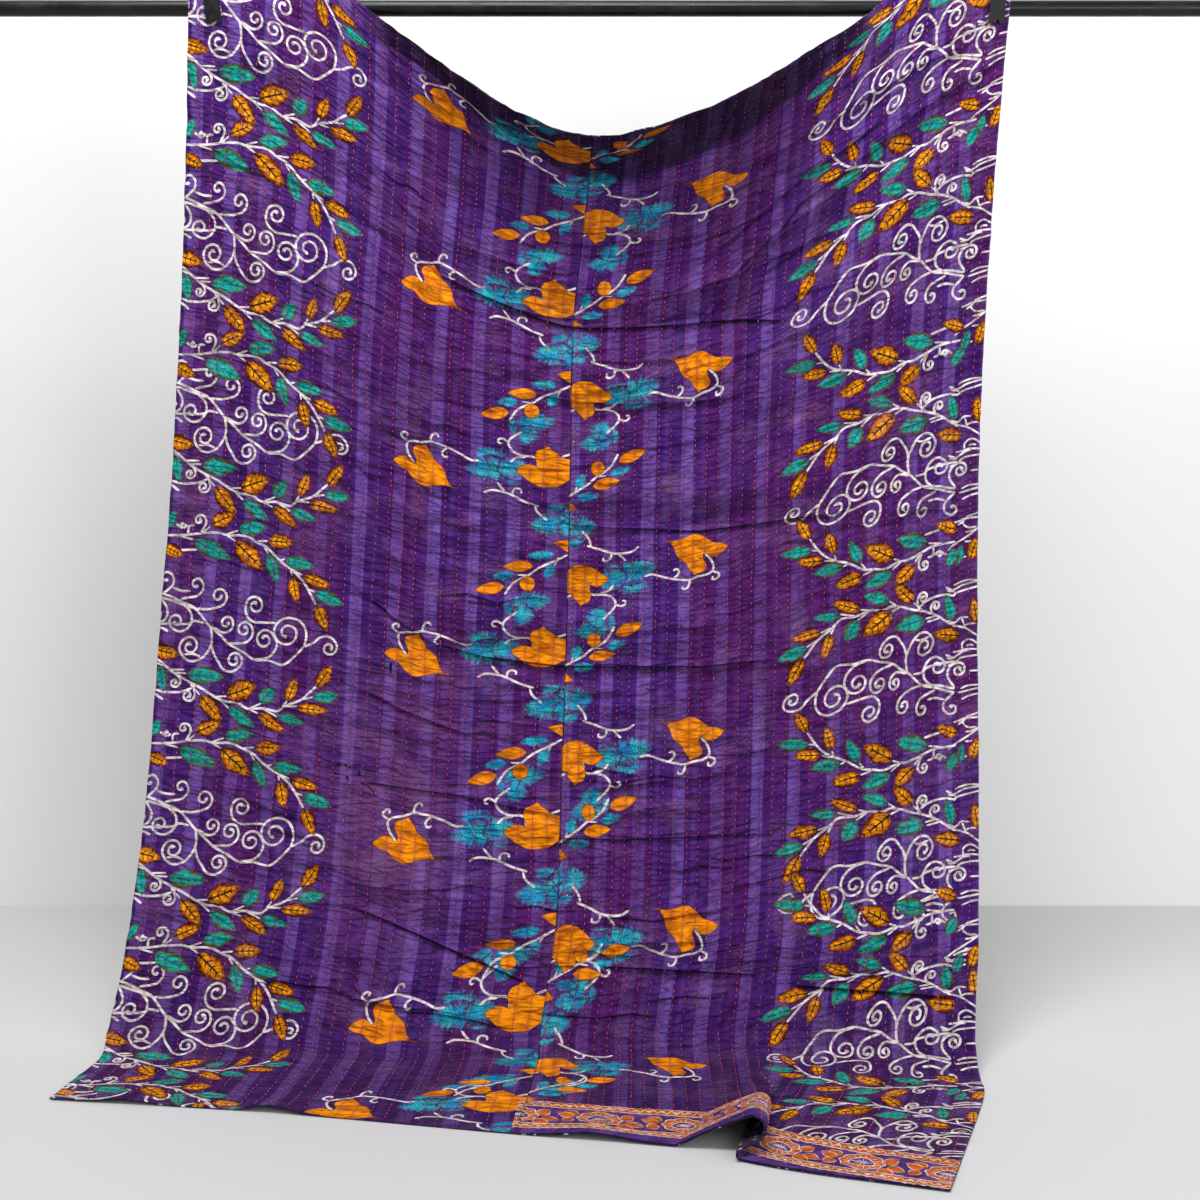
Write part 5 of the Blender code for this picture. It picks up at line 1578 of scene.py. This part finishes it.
def build_sheet(name, region, drawing, low, high, motifs, materials, plain_back="reverse"):
    """Hangs a flat region of the cloth between two heights over the cloth's underside."""
    outline = outline_of(region)
    drawing.line(outline_of(region, RIM_INSET), True)
    for line in crease_lines(region[0], region[1]):
        drawing.line(line)
    grid = thinned(grid_of(region, *FRONT_GRID), list(outline) + drawing.points)
    flat, faces = triangulate(outline, drawing.points + grid, drawing.edges)
    kinds, axes = motifs(drawing, flat, faces)

    border, loop = border_of(faces)
    back_outline = flat[loop]
    back_grid = thinned(grid_of(region, *BACK_GRID), back_outline, BACK_CROWDING)
    back_flat, back_faces = triangulate(back_outline, back_grid, [])

    on_rim = np.zeros(len(flat))
    on_rim[loop] = np.where(np.abs(flat[loop, 0] - SEAM) < 1e-6, SEAM_THIN, HEM_THIN)
    front = hang(flat, relief(*flat.T), -RESTING_DENT, high - on_rim)
    number = {tuple(np.round(point, 6)): k for k, point in zip(loop, back_outline)}
    same = [number.get(tuple(np.round(point, 6))) for point in back_flat]
    in_back = np.array([match is None for match in same])
    back = hang(back_flat, np.where(in_back, back_relief(*back_flat.T), relief(*back_flat.T)),
                0.0 if low < THICKNESS else -RESTING_DENT, low + np.where(in_back, 0.0, HEM_THIN / 2))
    SKINS[name] = (flat, faces, front)
    SKINS[name + " back"] = (back_flat, back_faces, back)

    shift = len(flat)
    back_of = {match: shift + n for n, match in enumerate(same) if match is not None}
    for place, k in enumerate(loop):
        back_of.setdefault(k, back_of.get(loop[place - 1]))
    walls = [(a, b, back_of[b], back_of[a]) if back_of[a] != back_of[b] else (a, b, back_of[a])
             for a, b in border]
    all_faces = faces[:, ::-1].tolist() + (back_faces + shift).tolist() + walls
    all_kinds = kinds.tolist() + [plain_back] * (len(back_faces) + len(walls))
    flat_corners = np.vstack([flat, back_flat])[np.concatenate([np.array(face) for face in all_faces])]
    cloth_uv, rows_uv = real_cloth(flat_corners)
    motif_uv = np.zeros_like(cloth_uv)
    motif_uv[:3 * len(faces)] = axes[:, ::-1].reshape(-1, 2)
    layout_uv = sheet_layout(flat_corners, region[0], 3 * len(faces),
                             3 * (len(faces) + len(back_faces)), walls)
    # Painted shade: the dark lines of the creases and the band below the sagging edge.
    shade = np.maximum(creases(*flat.T)[1] * calm(*flat.T), edge_shade(*flat.T))
    made = mesh_object(name, np.vstack([front, back]), all_faces, all_kinds,
                       {"Cloth": cloth_uv, "Rows": rows_uv, "Motif": motif_uv, "OFBake": layout_uv},
                       materials, np.concatenate([shade, np.zeros(len(back_flat))]))
    print(name, len(faces), "front and", len(back_faces), "back triangles,", len(walls), "of", len(border),
          "rim faces")
    return made


# %% The two panels
TOP_WAVE, TOP_WAVE_LENGTH, TOP_SEED = 0.0016, 0.013, 6


def flat_top(across):
    """The top edge, drawn up by its hem stitches into small uneven waves."""
    across = np.asarray(across)
    return TOP_WAVE + TOP_WAVE * wave_noise(across / TOP_WAVE_LENGTH, 0.0 * across, TOP_SEED)


left_panel = build_sheet("left_cloth", (0.0, SEAM, flat_top, hem), left_drawing, 0.0, THICKNESS,
                         panel_motifs, COTTONS)
right_panel = build_sheet("right_cloth", (SEAM, CLOTH_WIDTH, flat_top, hem), right_drawing, 0.0, THICKNESS,
                          panel_motifs, COTTONS)

# %% [markdown]
# ## Border strip
#
# The strip is cut from another cloth. Its print has flowers with a sprig on each side,
# between two bands of scallops. It is drawn and cut as the panels are, on its own
# chart: millimetres across from a flower's middle, and down from the strip's edge.

# %% Chart of the strip
STRIP_GAP, STRIP_THICKNESS = 0.0005, 0.0010
FLOWER_PITCH, FIRST_FLOWER, FLOWERS = 0.1165, 0.6925, 7
FLOWER_MIDDLE = 0.050  # below the strip's upper edge
PETALS = [  # angle in degrees, reach across and down in millimetres
    (0, 33, 23), (20, 30, 21), (38, 33, 25), (60, 30, 22), (80, 33, 25), (100, 33, 25), (122, 30, 22),
    (145, 33, 25), (162, 30, 21), (180, 33, 23), (200, 29, 20), (220, 33, 25), (240, 29, 22),
    (262, 32, 26), (280, 32, 26), (300, 29, 22), (320, 33, 25), (342, 29, 20)]
SPRIG = [  # leaf base, tip and half width, from the flower's middle
    ((31, -3), (46, -20), 7), ((36, 4), (61, 15), 5.5), ((24, 15), (48, 28), 6),
    ((-31, -9), (-50, -22), 6), ((-36, -2), (-59, -15), 5.5), ((-38, 2), (-50, 19), 6.5)]
BANDS = [(0.0015, 0.0205), (0.0775, 0.0930)]  # the two lines of each band, below the edge
SCALLOP = 0.0125  # length of one scallop
STRIP_SEED, STRIP_RIM, SPRIG_SIZE, SPRIG_OUTLINE = 11, 0.0008, 1.25, 0.0016
PETAL_OUTLINE, HEART_OUTLINE, HEART_DROP = 0.93, 0.002, 0.001
HEART = np.array([0.0165, 0.0105])  # half width and height
RAYS = [(14, 30, HEART, HEART_DROP, 0.0007), (20, 20, (0.031, 0.023), 0.0, 0.0006)]


def strip_point(across, below):
    """Flat cloth coordinates of a point of the strip."""
    return np.stack([across, strip_top(across) + below], axis=-1)


def petal_ring(x, y, share):
    """The flower's outline, or a smaller copy of it, with a soft lobe for each petal."""
    at = np.arange(0, 360, 6.0)
    petal_angles, *reaches = np.array(PETALS + [(360, *PETALS[0][1:])], float).T
    wide, tall = (np.interp(at, petal_angles, reach) * share / 1000 for reach in reaches)
    return strip_point(x + wide * np.cos(np.radians(at)), y + tall * np.sin(np.radians(at)))


# %% Drawing the strip
def draw_flower(drawing, draw, x, y):
    """A flower with its sprigs; white and rust, with a violet heart and white rays."""
    for base, tip, half_width in SPRIG:
        ends = [strip_point(x + end[0] / 1000, y + end[1] / 1000) for end in (base, tip)]
        for wider, kind in ((SPRIG_OUTLINE, "white"), (0, "rust")):
            drawing.shape(leaf_outline(*ends, SPRIG_SIZE * half_width / 1000 + wider, 10), kind, STRIP_RIM)
    for share, kind in ((1.0, "white"), (PETAL_OUTLINE, "rust")):
        drawing.shape(petal_ring(x, y, share), kind, STRIP_RIM)
    for wider, kind in ((HEART_OUTLINE, "white"), (0, "violet")):
        heart = round_outline(0, 0, *(HEART + wider), 18)
        drawing.shape(strip_point(x + heart[:, 0], y + HEART_DROP + heart[:, 1]), kind, STRIP_RIM)
    for from_middle, (turn, apart, (wide, tall), drop, half_width) in zip((True, False), RAYS):
        for angle in np.radians(draw.uniform(0, turn) + np.arange(0, 360, apart)):
            ends = (0.05, draw.uniform(0.55, 0.95)) if from_middle else (0.56, draw.uniform(0.74, 1.0))
            ray = [strip_point(x + wide * t * cos(angle), y + drop + tall * t * sin(angle)) for t in ends]
            drawing.stroke(smooth_path(ray), half_width, kind="white")


def draw_band(drawing, draw, upper, lower):
    """A band of the strip: two wavy lines with a zigzag and dots between them."""
    across = np.arange(STRIP_LEFT - 0.01, CLOTH_WIDTH + 0.01, 0.0035)
    for edge in (upper, lower):
        wave = edge + 0.0009 * np.sin(2 * pi * across / SCALLOP) + 0.0008 * np.sin(across * 61 + 900 * edge)
        drawing.stroke(strip_point(across, wave), 0.0010, kind="white")
    middle, step, half = (upper + lower) / 2, SCALLOP / 2, (lower - upper) / 2 - 0.0030
    for n, x in enumerate(np.arange(STRIP_LEFT, CLOTH_WIDTH, step)):
        rise = half if n % 2 else -half
        zigzag = [strip_point(x + draw.uniform(-0.0006, 0.0006), middle - rise),
                  strip_point(x + step, middle + rise)]
        drawing.stroke(smooth_path(zigzag), 0.0008, kind="white")
        if n % 3 == 0:
            drawing.shape(strip_point(*round_outline(x, middle, 0.0021, 0.0024, 7).T), "white", 0.0006)


strip_drawing, strip_draw = Drawing(), np.random.default_rng(STRIP_SEED)
for k in range(FLOWERS):
    draw_flower(strip_drawing, strip_draw, FIRST_FLOWER + k * FLOWER_PITCH, FLOWER_MIDDLE)
for band in BANDS:
    draw_band(strip_drawing, strip_draw, *band)
print(len(strip_drawing.points), "points drawn on the strip")


# %% Cottons of the strip
def two_tones(scale, one, two):
    """A paint that wanders between two colours."""
    def paint(tree):
        return blend_colour(tree, remap(tree, cloth_noise(tree, scale, 3.0, 0.6), 0.35, 0.65), one, two)
    return paint


striped_violet = two_tones(30.0, (0.048, 0.016, 0.130, 1), (0.098, 0.038, 0.200, 1))  # uneven dye
mottled_rust = two_tones(120.0, (0.58, 0.130, 0.008, 1), (0.42, 0.076, 0.008, 1))  # threads missed
STRIP_COTTONS = {kind: cotton(name, colour, fading, 0.35, 0.0016) for kind, name, colour, fading in (
    ("ground", "strip ground", striped_violet, 0.15), ("rust", "strip orange", mottled_rust, 0.1),
    ("white", "strip white", (0.66, 0.55, 0.45), 0.1), ("violet", "strip flower heart", striped_violet, 0.1),
    ("reverse", "strip turning", (0.09, 0.035, 0.20), 0.1))}
print(len(STRIP_COTTONS), "cottons of the strip")

# %% The border strip
TURNED_END = 0.011  # the strip's left end is turned in this wide


def strip_motifs(drawing, flat, faces):
    """The material of each triangle of the strip: bands, flowers and leaves on the ground."""
    kinds, axes = motif_of(drawing, flat, faces, ("shape", "stroke"))
    across, down = flat[faces].mean(axis=1).T
    below = down - strip_top(across)
    for upper, lower in BANDS:
        kinds[(below > upper) & (below < lower) & (kinds == "ground")] = "rust"
    kinds[(across < STRIP_LEFT + TURNED_END) & (kinds == "ground") & (below < BANDS[1][1])] = "rust"
    return kinds, axes


strip = build_sheet("border_cloth", (STRIP_LEFT, CLOTH_WIDTH, strip_top, hem), strip_drawing,
                    THICKNESS + STRIP_GAP, THICKNESS + STRIP_GAP + STRIP_THICKNESS,
                    strip_motifs, STRIP_COTTONS)

# %% [markdown]
# ## Running stitches
#
# The rows of running stitches make the quilt. On the real cloth each stitch is a short
# stretch of pink thread that comes up, lies on the face, and goes down again, so the
# rows show on the back as well, between the stitches of the face. Each one is a small
# closed spindle with two rings of three points. A ray dropped on the flat triangles
# finds the triangle it is sewn through, and with it the place on the hung cloth.


# %% Dropping a flat point on a hung skin
def on_skin(skin, across, down):
    """Hung places of flat points, and which of them lie on the skin."""
    flat, faces, places = SKINS[skin]
    tree = BVHTree.FromPolygons([(x, y, 0.0) for x, y in flat], faces.tolist())
    hits = [tree.ray_cast(Vector((x, y, 1.0)), Vector((0, 0, -1)))[2] for x, y in zip(across, down)]
    found = np.array([hit is not None for hit in hits])
    one, two, three = (flat[faces[[hit or 0 for hit in hits], k]] for k in range(3))
    point = np.stack([across, down], axis=1)
    whole = np.cross(two - one, three - one)
    share_two = np.cross(point - one, three - one) / whole
    share_three = np.cross(two - one, point - one) / whole
    shares = np.stack([1 - share_two - share_three, share_two, share_three], axis=1)
    corners = places[faces[[hit or 0 for hit in hits]]]
    return (corners * shares[..., None]).sum(axis=1), found


# %% Where the stitches lie
STITCH_HALF, STITCH_RADIUS, STITCH_MISSING = 0.0030, 0.00078, 0.06
ROW_END, ROW_MARGIN = 0.008, 0.004  # free cloth at a row's ends, and beside the edges
ROW_WANDER, ROW_WANDER_LENGTH, ROW_SEED = 0.0013, 0.09, 21
UNEVEN_DOWN, UNEVEN_ACROSS = 0.0011, 0.00035
STRIP_MARGIN = 0.004


def stitch_places(panel, left, right, seed, phase=0.0):
    """Flat places of the stitches of one panel, row after row, a little uneven."""
    spacing, first = ROW_TABLES[panel]
    draw = np.random.default_rng(seed)
    places = []
    for row in range(int((left - first) / spacing), int((right - first) / spacing) + 2):
        base = first + row * spacing
        if not left + ROW_MARGIN < base < right - ROW_MARGIN:
            continue
        down = np.arange(ROW_END + STITCH_PITCH * phase, float(hem(base)) - ROW_END, STITCH_PITCH)
        down = down + draw.normal(0, UNEVEN_DOWN, len(down))
        wander = wave_noise(np.full(len(down), row * 3.3), down / ROW_WANDER_LENGTH, ROW_SEED)
        across = base + ROW_WANDER * wander + draw.normal(0, UNEVEN_ACROSS, len(down))
        kept = draw.uniform(0, 1, len(down)) > STITCH_MISSING
        places.append(np.stack([across, down], axis=1)[kept])
    return np.vstack(places)


def uncovered(places):
    """Stitches of the panels that the border strip doesn't hide."""
    across, down = places.T
    return places[(across < STRIP_LEFT) | (down < strip_top(across) - STRIP_MARGIN)]


left_places = stitch_places("left", 0.0, SEAM, 31)
right_places = stitch_places("right", SEAM, CLOTH_WIDTH, 32)
on_strip = right_places[right_places[:, 1] > strip_top(right_places[:, 0]) + STRIP_MARGIN]
print(len(left_places), "and", len(right_places), "stitches,", len(on_strip), "of them through the strip")

# %% The form of a stitch
SPINDLE_SHARES = (0.28, 0.72)  # where its two rings lie along it
SPINDLE_ANGLES = [pi / 2 + 2 * pi * third / 3 for third in range(3)]
STITCH_UNEVEN, STITCH_SLANT, STITCH_LIFT = 0.20, 0.10, 0.3


def spindle_faces():
    """Twelve triangles between two ends and two rings of three, with their layout."""
    faces, layout = [], []
    for a in range(3):
        b = (a + 1) % 3
        faces += [(0, 1 + b, 1 + a), (1 + a, 1 + b, 4 + b), (1 + a, 4 + b, 4 + a), (4 + a, 4 + b, 7)]
        layout += [((a + 0.5, 0), (a + 1, 1), (a, 1)), ((a, 1), (a + 1, 1), (a + 1, 2)),
                   ((a, 1), (a + 1, 2), (a, 2)), ((a, 2), (a + 1, 2), (a + 0.5, 3))]
    return np.array(faces), np.array(layout, float) / 3


def unit(vectors):
    return vectors / np.linalg.norm(vectors, axis=1, keepdims=True)


def spindles(skin, places, side):
    """The eight points of each stitch, and the flat places of those that lie on the skin."""
    draw = np.random.default_rng(len(places))
    half = STITCH_HALF * draw.uniform(1 - STITCH_UNEVEN, 1 + STITCH_UNEVEN, len(places))
    slant = draw.normal(0, STITCH_SLANT, len(places))
    reach = np.stack([half * np.sin(slant), half * np.cos(slant)], axis=1)
    (start, on_1), (end, on_2), (middle, on_3) = (
        on_skin(skin, *at.T) for at in (places - reach, places + reach, places))
    kept = on_1 & on_2 & on_3
    start, middle, end, places = start[kept], middle[kept], end[kept], places[kept]
    ahead = unit(end - start)
    beside = unit(np.cross(ahead, cloth_normal(*places.T) * side))
    up = np.cross(beside, ahead)
    lifted = np.maximum(((middle - (start + end) / 2) * up).sum(axis=1), 0) + STITCH_LIFT * STITCH_RADIUS
    points = [start - up * STITCH_RADIUS / 2]
    for share in SPINDLE_SHARES:
        centre = start + (end - start) * share + up * lifted[:, None]
        points += [centre + STITCH_RADIUS * (up * sin(angle) + beside * cos(angle))
                   for angle in SPINDLE_ANGLES]
    points.append(end - up * STITCH_RADIUS / 2)
    return np.stack(points, axis=1), places


# %% Building the stitches
def build_stitches(name, skin, places, thread, side=1):
    """Stitches on a hung skin; side is 1 on the face and -1 on the back."""
    points, places = spindles(skin, places, side)
    pattern, layout = spindle_faces()
    k = np.arange(len(points))
    faces = (pattern + points.shape[1] * k[:, None, None]).reshape(-1, 3)
    columns = int(np.ceil(np.sqrt(len(points))))
    corner = np.stack([k % columns, k // columns], axis=1)[:, None, None]
    layout = ((layout * 0.9 + 0.05 + corner) / columns).reshape(-1, 2)
    # The stitches take the painted shade of the band below the sagging edge.
    made = mesh_object(name, points.reshape(-1, 3), faces.tolist(), ["thread"] * len(faces),
                       {"OFBake": layout}, {"thread": thread},
                       np.repeat(edge_shade(*places.T), points.shape[1]))
    print(name, len(points), "stitches,", len(faces), "triangles")
    return made


# %% Thread
def thread_finish(name, colour, darker):
    """Soft cotton thread whose dye is uneven along a row, with painted shade in the band below the sagging
    edge.
    """
    made, tree, shader = new_material(name, Roughness=0.7, Sheen_Weight=0.1)
    place = put(tree, "ShaderNodeTexCoord").outputs["Object"]
    twist = put(tree, "ShaderNodeTexWave", {"Vector": place, "Scale": 900.0, "Distortion": 1.0},
                bands_direction="DIAGONAL")
    dyed_and_shaded = blend_colour(tree, remap(tree, scaled_noise(tree, place, 55.0, 2.0), 0.35, 0.65),
                        (*colour, 1), (*darker, 1))
    # Painted shade: the thread goes darker in the band below the sagging edge.
    dyed_and_shaded = blend_colour(tree, remap(tree, painted_shade(tree), 0.30, 0.66, 0.0, 0.65), dyed_and_shaded,
                        (0.05, 0.006, 0.03, 1))
    tree.links.new(dyed_and_shaded, shader.inputs["Base Color"])
    tree.links.new(bump(tree, twist.outputs[1], 0.0001, 0.6), shader.inputs["Normal"])
    return made


PINK = thread_finish("pink thread", (0.80, 0.085, 0.33), (0.55, 0.035, 0.27))
PALE = thread_finish("thread on the back", (0.50, 0.06, 0.22), (0.30, 0.03, 0.16))
print("threads:", PINK.name, "and", PALE.name)

# %% All the stitches
left_stitches = build_stitches("left_stitches", "left_cloth", uncovered(left_places), PINK)
right_stitches = build_stitches("right_stitches", "right_cloth", uncovered(right_places), PINK)
strip_stitches = build_stitches("strip_stitches", "border_cloth", on_strip, PINK)
left_back = build_stitches("left_back_stitches", "left_cloth back",
                           stitch_places("left", 0.0, SEAM, 33, 0.5), PALE, -1)
right_back = build_stitches("right_back_stitches", "right_cloth back",
                            stitch_places("right", SEAM, CLOTH_WIDTH, 34, 0.5), PALE, -1)

# %% [markdown]
# ## Rail and clips
#
# The rail is steel tube with a glossy black coat, and the clips are pressed steel with
# a duller one. Their modelled forms are right, so they stay and only get their
# finishes. A coat is smooth but not perfect: dust takes the gloss off in patches, and
# the coat is thin where hands and cloth rub it.

# %% Dust and scuffs
DUST, given, out = new_group("dust and scuffs", [("Coarse", "Float", 60.0)],
                             [("Mask", "Float"), ("Height", "Float")])
place = put(DUST, "ShaderNodeTexCoord").outputs["Object"]
patches = put(DUST, "ShaderNodeTexNoise", {"Vector": place, "Scale": given[0], "Detail": 4.0,
                                           "Roughness": 0.65})
grains = put(DUST, "ShaderNodeTexNoise", {"Vector": place, "Scale": 2600.0, "Detail": 2.0})
DUST.links.new(remap(DUST, patches.outputs[0], 0.42, 0.72), out.inputs["Mask"])
DUST.links.new(grains.outputs[0], out.inputs["Height"])
print("dust in patches:", DUST.name)

# %% Black coats and spring steel
DUSTY_ROUGHER = 0.22


def coat(name, colour, dusty, roughness, metallic, coarse, bump_depth):
    """A coated or bare metal whose gloss is broken by dust and fine grain."""
    made, tree, shader = new_material(name, Metallic=metallic, Specular_IOR_Level=0.30)
    dust = use_group(tree, DUST, Coarse=coarse)
    rough = remap(tree, dust["Mask"], 0.0, 1.0, roughness, roughness + DUSTY_ROUGHER)
    tree.links.new(blend_colour(tree, dust["Mask"], (*colour, 1), (*dusty, 1)), shader.inputs["Base Color"])
    tree.links.new(rough, shader.inputs["Roughness"])
    tree.links.new(bump(tree, dust["Height"], bump_depth, 0.5), shader.inputs["Normal"])
    return made


FINISHES = {  # colour, dusty colour, roughness, metallic, coarseness, depth of the grain
    "black_rail": coat("rail black gloss", (0.004, 0.004, 0.005), (0.010, 0.010, 0.012),
                       0.26, 0.0, 14.0, 0.00002),
    "black_clip": coat("clip black coat", (0.003, 0.003, 0.004), (0.009, 0.009, 0.010),
                       0.42, 0.0, 120.0, 0.00004),
    "spring_steel": coat("clip spring steel", (0.30, 0.29, 0.28), (0.12, 0.11, 0.10),
                         0.32, 1.0, 200.0, 0.00005)}
for made in bpy.data.objects:
    for slot in made.material_slots if made.type == "MESH" else ():
        finish = FINISHES.get(slot.material.name.split(".")[0]) if slot.material else None
        if finish:
            slot.material = finish
            print(made.name, "gets", finish.name)

BODY = "root"

for panel, node, slot, size, sewn in (
        (left_panel, "left_panel", "printed_cotton", (0.70, 2.03), [left_stitches, left_back]),
        (right_panel, "right_panel", "printed_cotton", (0.70, 2.13), [right_stitches, right_back]),
        (strip, "border_strip", "border_cotton", (0.71, 0.11), [strip_stitches])):
    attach(panel, BODY)
    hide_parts(node)
    for stitches in sewn:
        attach(stitches, BODY)
